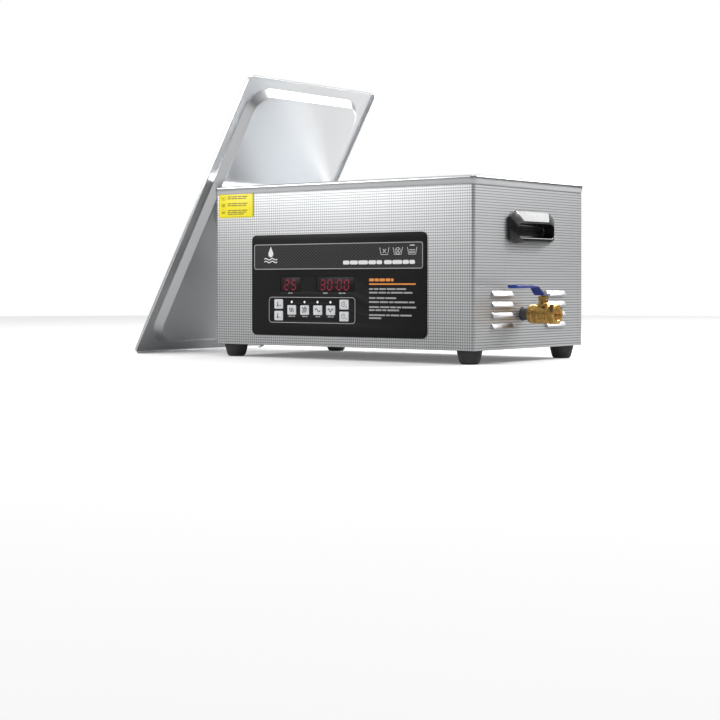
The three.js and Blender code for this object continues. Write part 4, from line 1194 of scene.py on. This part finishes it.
def lid_screws(half):
    """Cross-slotted heads under the lid, which hold its handle."""
    under = -LID["drop"] - 0.3
    profile = rounded([(0, under - 2.2), (3.2, under - 2.4), (5, under - 1.2), (5, under), (2.2, under),
                       (2.2, 0), (0, 0)], [0, 0.8, 0.8, 0, 0, 0, 0])
    for k, along in enumerate((-SCREW_REACH, SCREW_REACH)):
        x, y = half[0] + along, half[1]
        head = raw(f"lid_screw_head_{k + 1}", *leaned(turned("z", (x, y, 0), profile, 28)))
        for dx, dy in ((2.2, 0.4), (0.4, 2.2)):
            slot = box(x - dx, x + dx, y - dy, y + dy, under - 3, under - 1.3)
            combine(head, raw("slot", *leaned(slot)), "DIFFERENCE")
        dress(head, CHROME, "lid", [f"lid_screw_{k + 1}"])


# ---- CAD nodes that stay, with a better finish ----
def finish_nodes():
    finishes = {
        "base_plate": ZINC, "control_board": BOARD, "generator_board": BOARD, "drain_nut": BRASS_MACHINED,
        "valve_seat_inner": SEAT, "valve_seat_outer": SEAT, "valve_ball": CHROME, "heater_front": SILICONE,
        "heater_rear": SILICONE, "temperature_sensor": BRASS_MACHINED,
    }
    for k in range(8):
        finishes[f"transducer_{k + 1}"] = ALLOY
    for name, material in finishes.items():
        mesh = frame["nodes"][name].data
        for i in range(len(mesh.materials)):
            mesh.materials[i] = material


# ---- stage, light and camera ----
def floor_finish():
    """Matt white card, which the steel reflects as a mid grey so that it keeps its contrast."""
    material = surface("floor_finish", (0.88, 0.88, 0.88), 0.9, 0, mottle=0.004, scale=3, specular=0.0)
    tree = material.node_tree
    card = tree.nodes["Principled BSDF"]
    card.inputs["Emission Color"].default_value = (1, 1, 1, 1)
    card.inputs["Emission Strength"].default_value = 0.15
    grey = add(tree, "BsdfDiffuse", Color=(0.50, 0.50, 0.50, 1))
    mix = mixed(tree, "Is Glossy Ray", card.outputs["BSDF"], grey.outputs["BSDF"])
    link(tree, mix, "Shader", tree.nodes["Material Output"], "Surface")
    return material


def mixed(tree, ray, other, shown):
    """One shader for the named kind of ray, and another for the rest."""
    mix = add(tree, "MixShader")
    link(tree, add(tree, "LightPath"), ray, mix, "Fac")
    tree.links.new(other, mix.inputs[1])
    tree.links.new(shown, mix.inputs[2])
    return mix


def stage():
    mesh = bpy.data.meshes.new("floor")
    steps = 96
    mesh.from_pydata([(x, y, 0) for x, y in circle(3.6, steps)], [], [list(range(steps))])
    mesh.materials.append(floor_finish())
    added("floor", mesh)


def area_light(name, location, target, size, power):
    light = bpy.data.lights.new(name, "AREA")
    light.shape = "RECTANGLE"
    light.size, light.size_y = size
    light.energy = power
    obj = added(name, light)
    obj.location = location
    obj.rotation_euler = (Vector(target) - Vector(location)).to_track_quat("-Z", "Y").to_euler()
    obj.visible_camera = False


def lights():
    area_light("key", (2.1, 2.4, 2.5), (0.2, 0, 0.15), (0.55, 0.55), 60)
    area_light("rear_box", (1.35, 2.5, 1.55), (0.3, 0, 0.2), (1.3, 0.9), 20)
    area_light("side_box", (1.25, 1.25, 0.78), (0.32, -0.1, 0.2), (0.5, 0.5), 2.2)
    area_light("front_box", (-0.74, -1.02, 0.60), (0.05, -0.15, 0.20), (0.7, 0.4), 6)
    area_light("rear_fill", (-0.30, 1.30, 0.45), (-0.31, 0.0, 0.0), (0.5, 0.4), 9)
    area_light("top_box", (0.1, 0.2, 3.0), (0.1, 0, 0), (3.0, 3.0), 30)


def world():
    """White to the eye, and a soft studio to reflections: dim at the horizon, bright above."""
    scene_world = bpy.data.worlds.new("studio")
    bpy.context.scene.world = scene_world
    scene_world.use_nodes = True
    tree = scene_world.node_tree
    tree.nodes.clear()
    split, shade = add(tree, "SeparateXYZ"), add(tree, "ValToRGB")
    link(tree, add(tree, "TexCoord"), "Generated", split, "Vector")
    stops = ((0.0, 0.06), (0.05, 0.08), (0.22, 0.42), (0.6, 0.75), (1.0, 0.95))
    for position, _ in stops[1:-1]:
        shade.color_ramp.elements.new(position)
    for element, (_, value) in zip(shade.color_ramp.elements, stops):
        element.color = (value, value, value, 1)
    link(tree, split, "Z", shade, "Fac")
    studio = add(tree, "Background", Strength=0.8)
    link(tree, shade, "Color", studio, "Color")
    plain = add(tree, "Background", Color=(1, 1, 1, 1), Strength=1.0)
    mix = mixed(tree, "Is Camera Ray", studio.outputs["Background"], plain.outputs["Background"])
    link(tree, mix, "Shader", add(tree, "OutputWorld"), "Surface")


def camera():
    data = bpy.data.cameras.new("camera")
    data.lens = 81.02
    data.sensor_width = 36
    data.shift_y = -0.1057
    obj = added("camera", data)
    obj.location = place((1874.47, -2015.71, 100.79))
    obj.rotation_euler = (math.radians(90), 0, math.radians(37.83))
    bpy.context.scene.camera = obj
    bpy.context.scene.view_settings.view_transform = "Standard"
    bpy.context.scene.view_settings.look = "None"


camera()
world()
lights()
stage()
tank()
case_wrap()
louvres()
rear_panel()
feet()
handle("handle_right", 1)
handle("handle_left", -1)
control_panel()
panel_print()
digits()
indicator_lights()
keys()
label()
drain_valve()
valve_lever()
drain_fittings()
fan_guard()
fan_rotor()
softened("fan_frame", BLACK_MOULDED, 0.5)
softened("power_inlet", BLACK_MOULDED, 0.4)
softened("switch_housing", BLACK_MOULDED, 0.4)
softened("switch_rocker", BLACK_GLOSS, 0.4, "rocker")
rocker_marks()
lid()
finish_nodes()
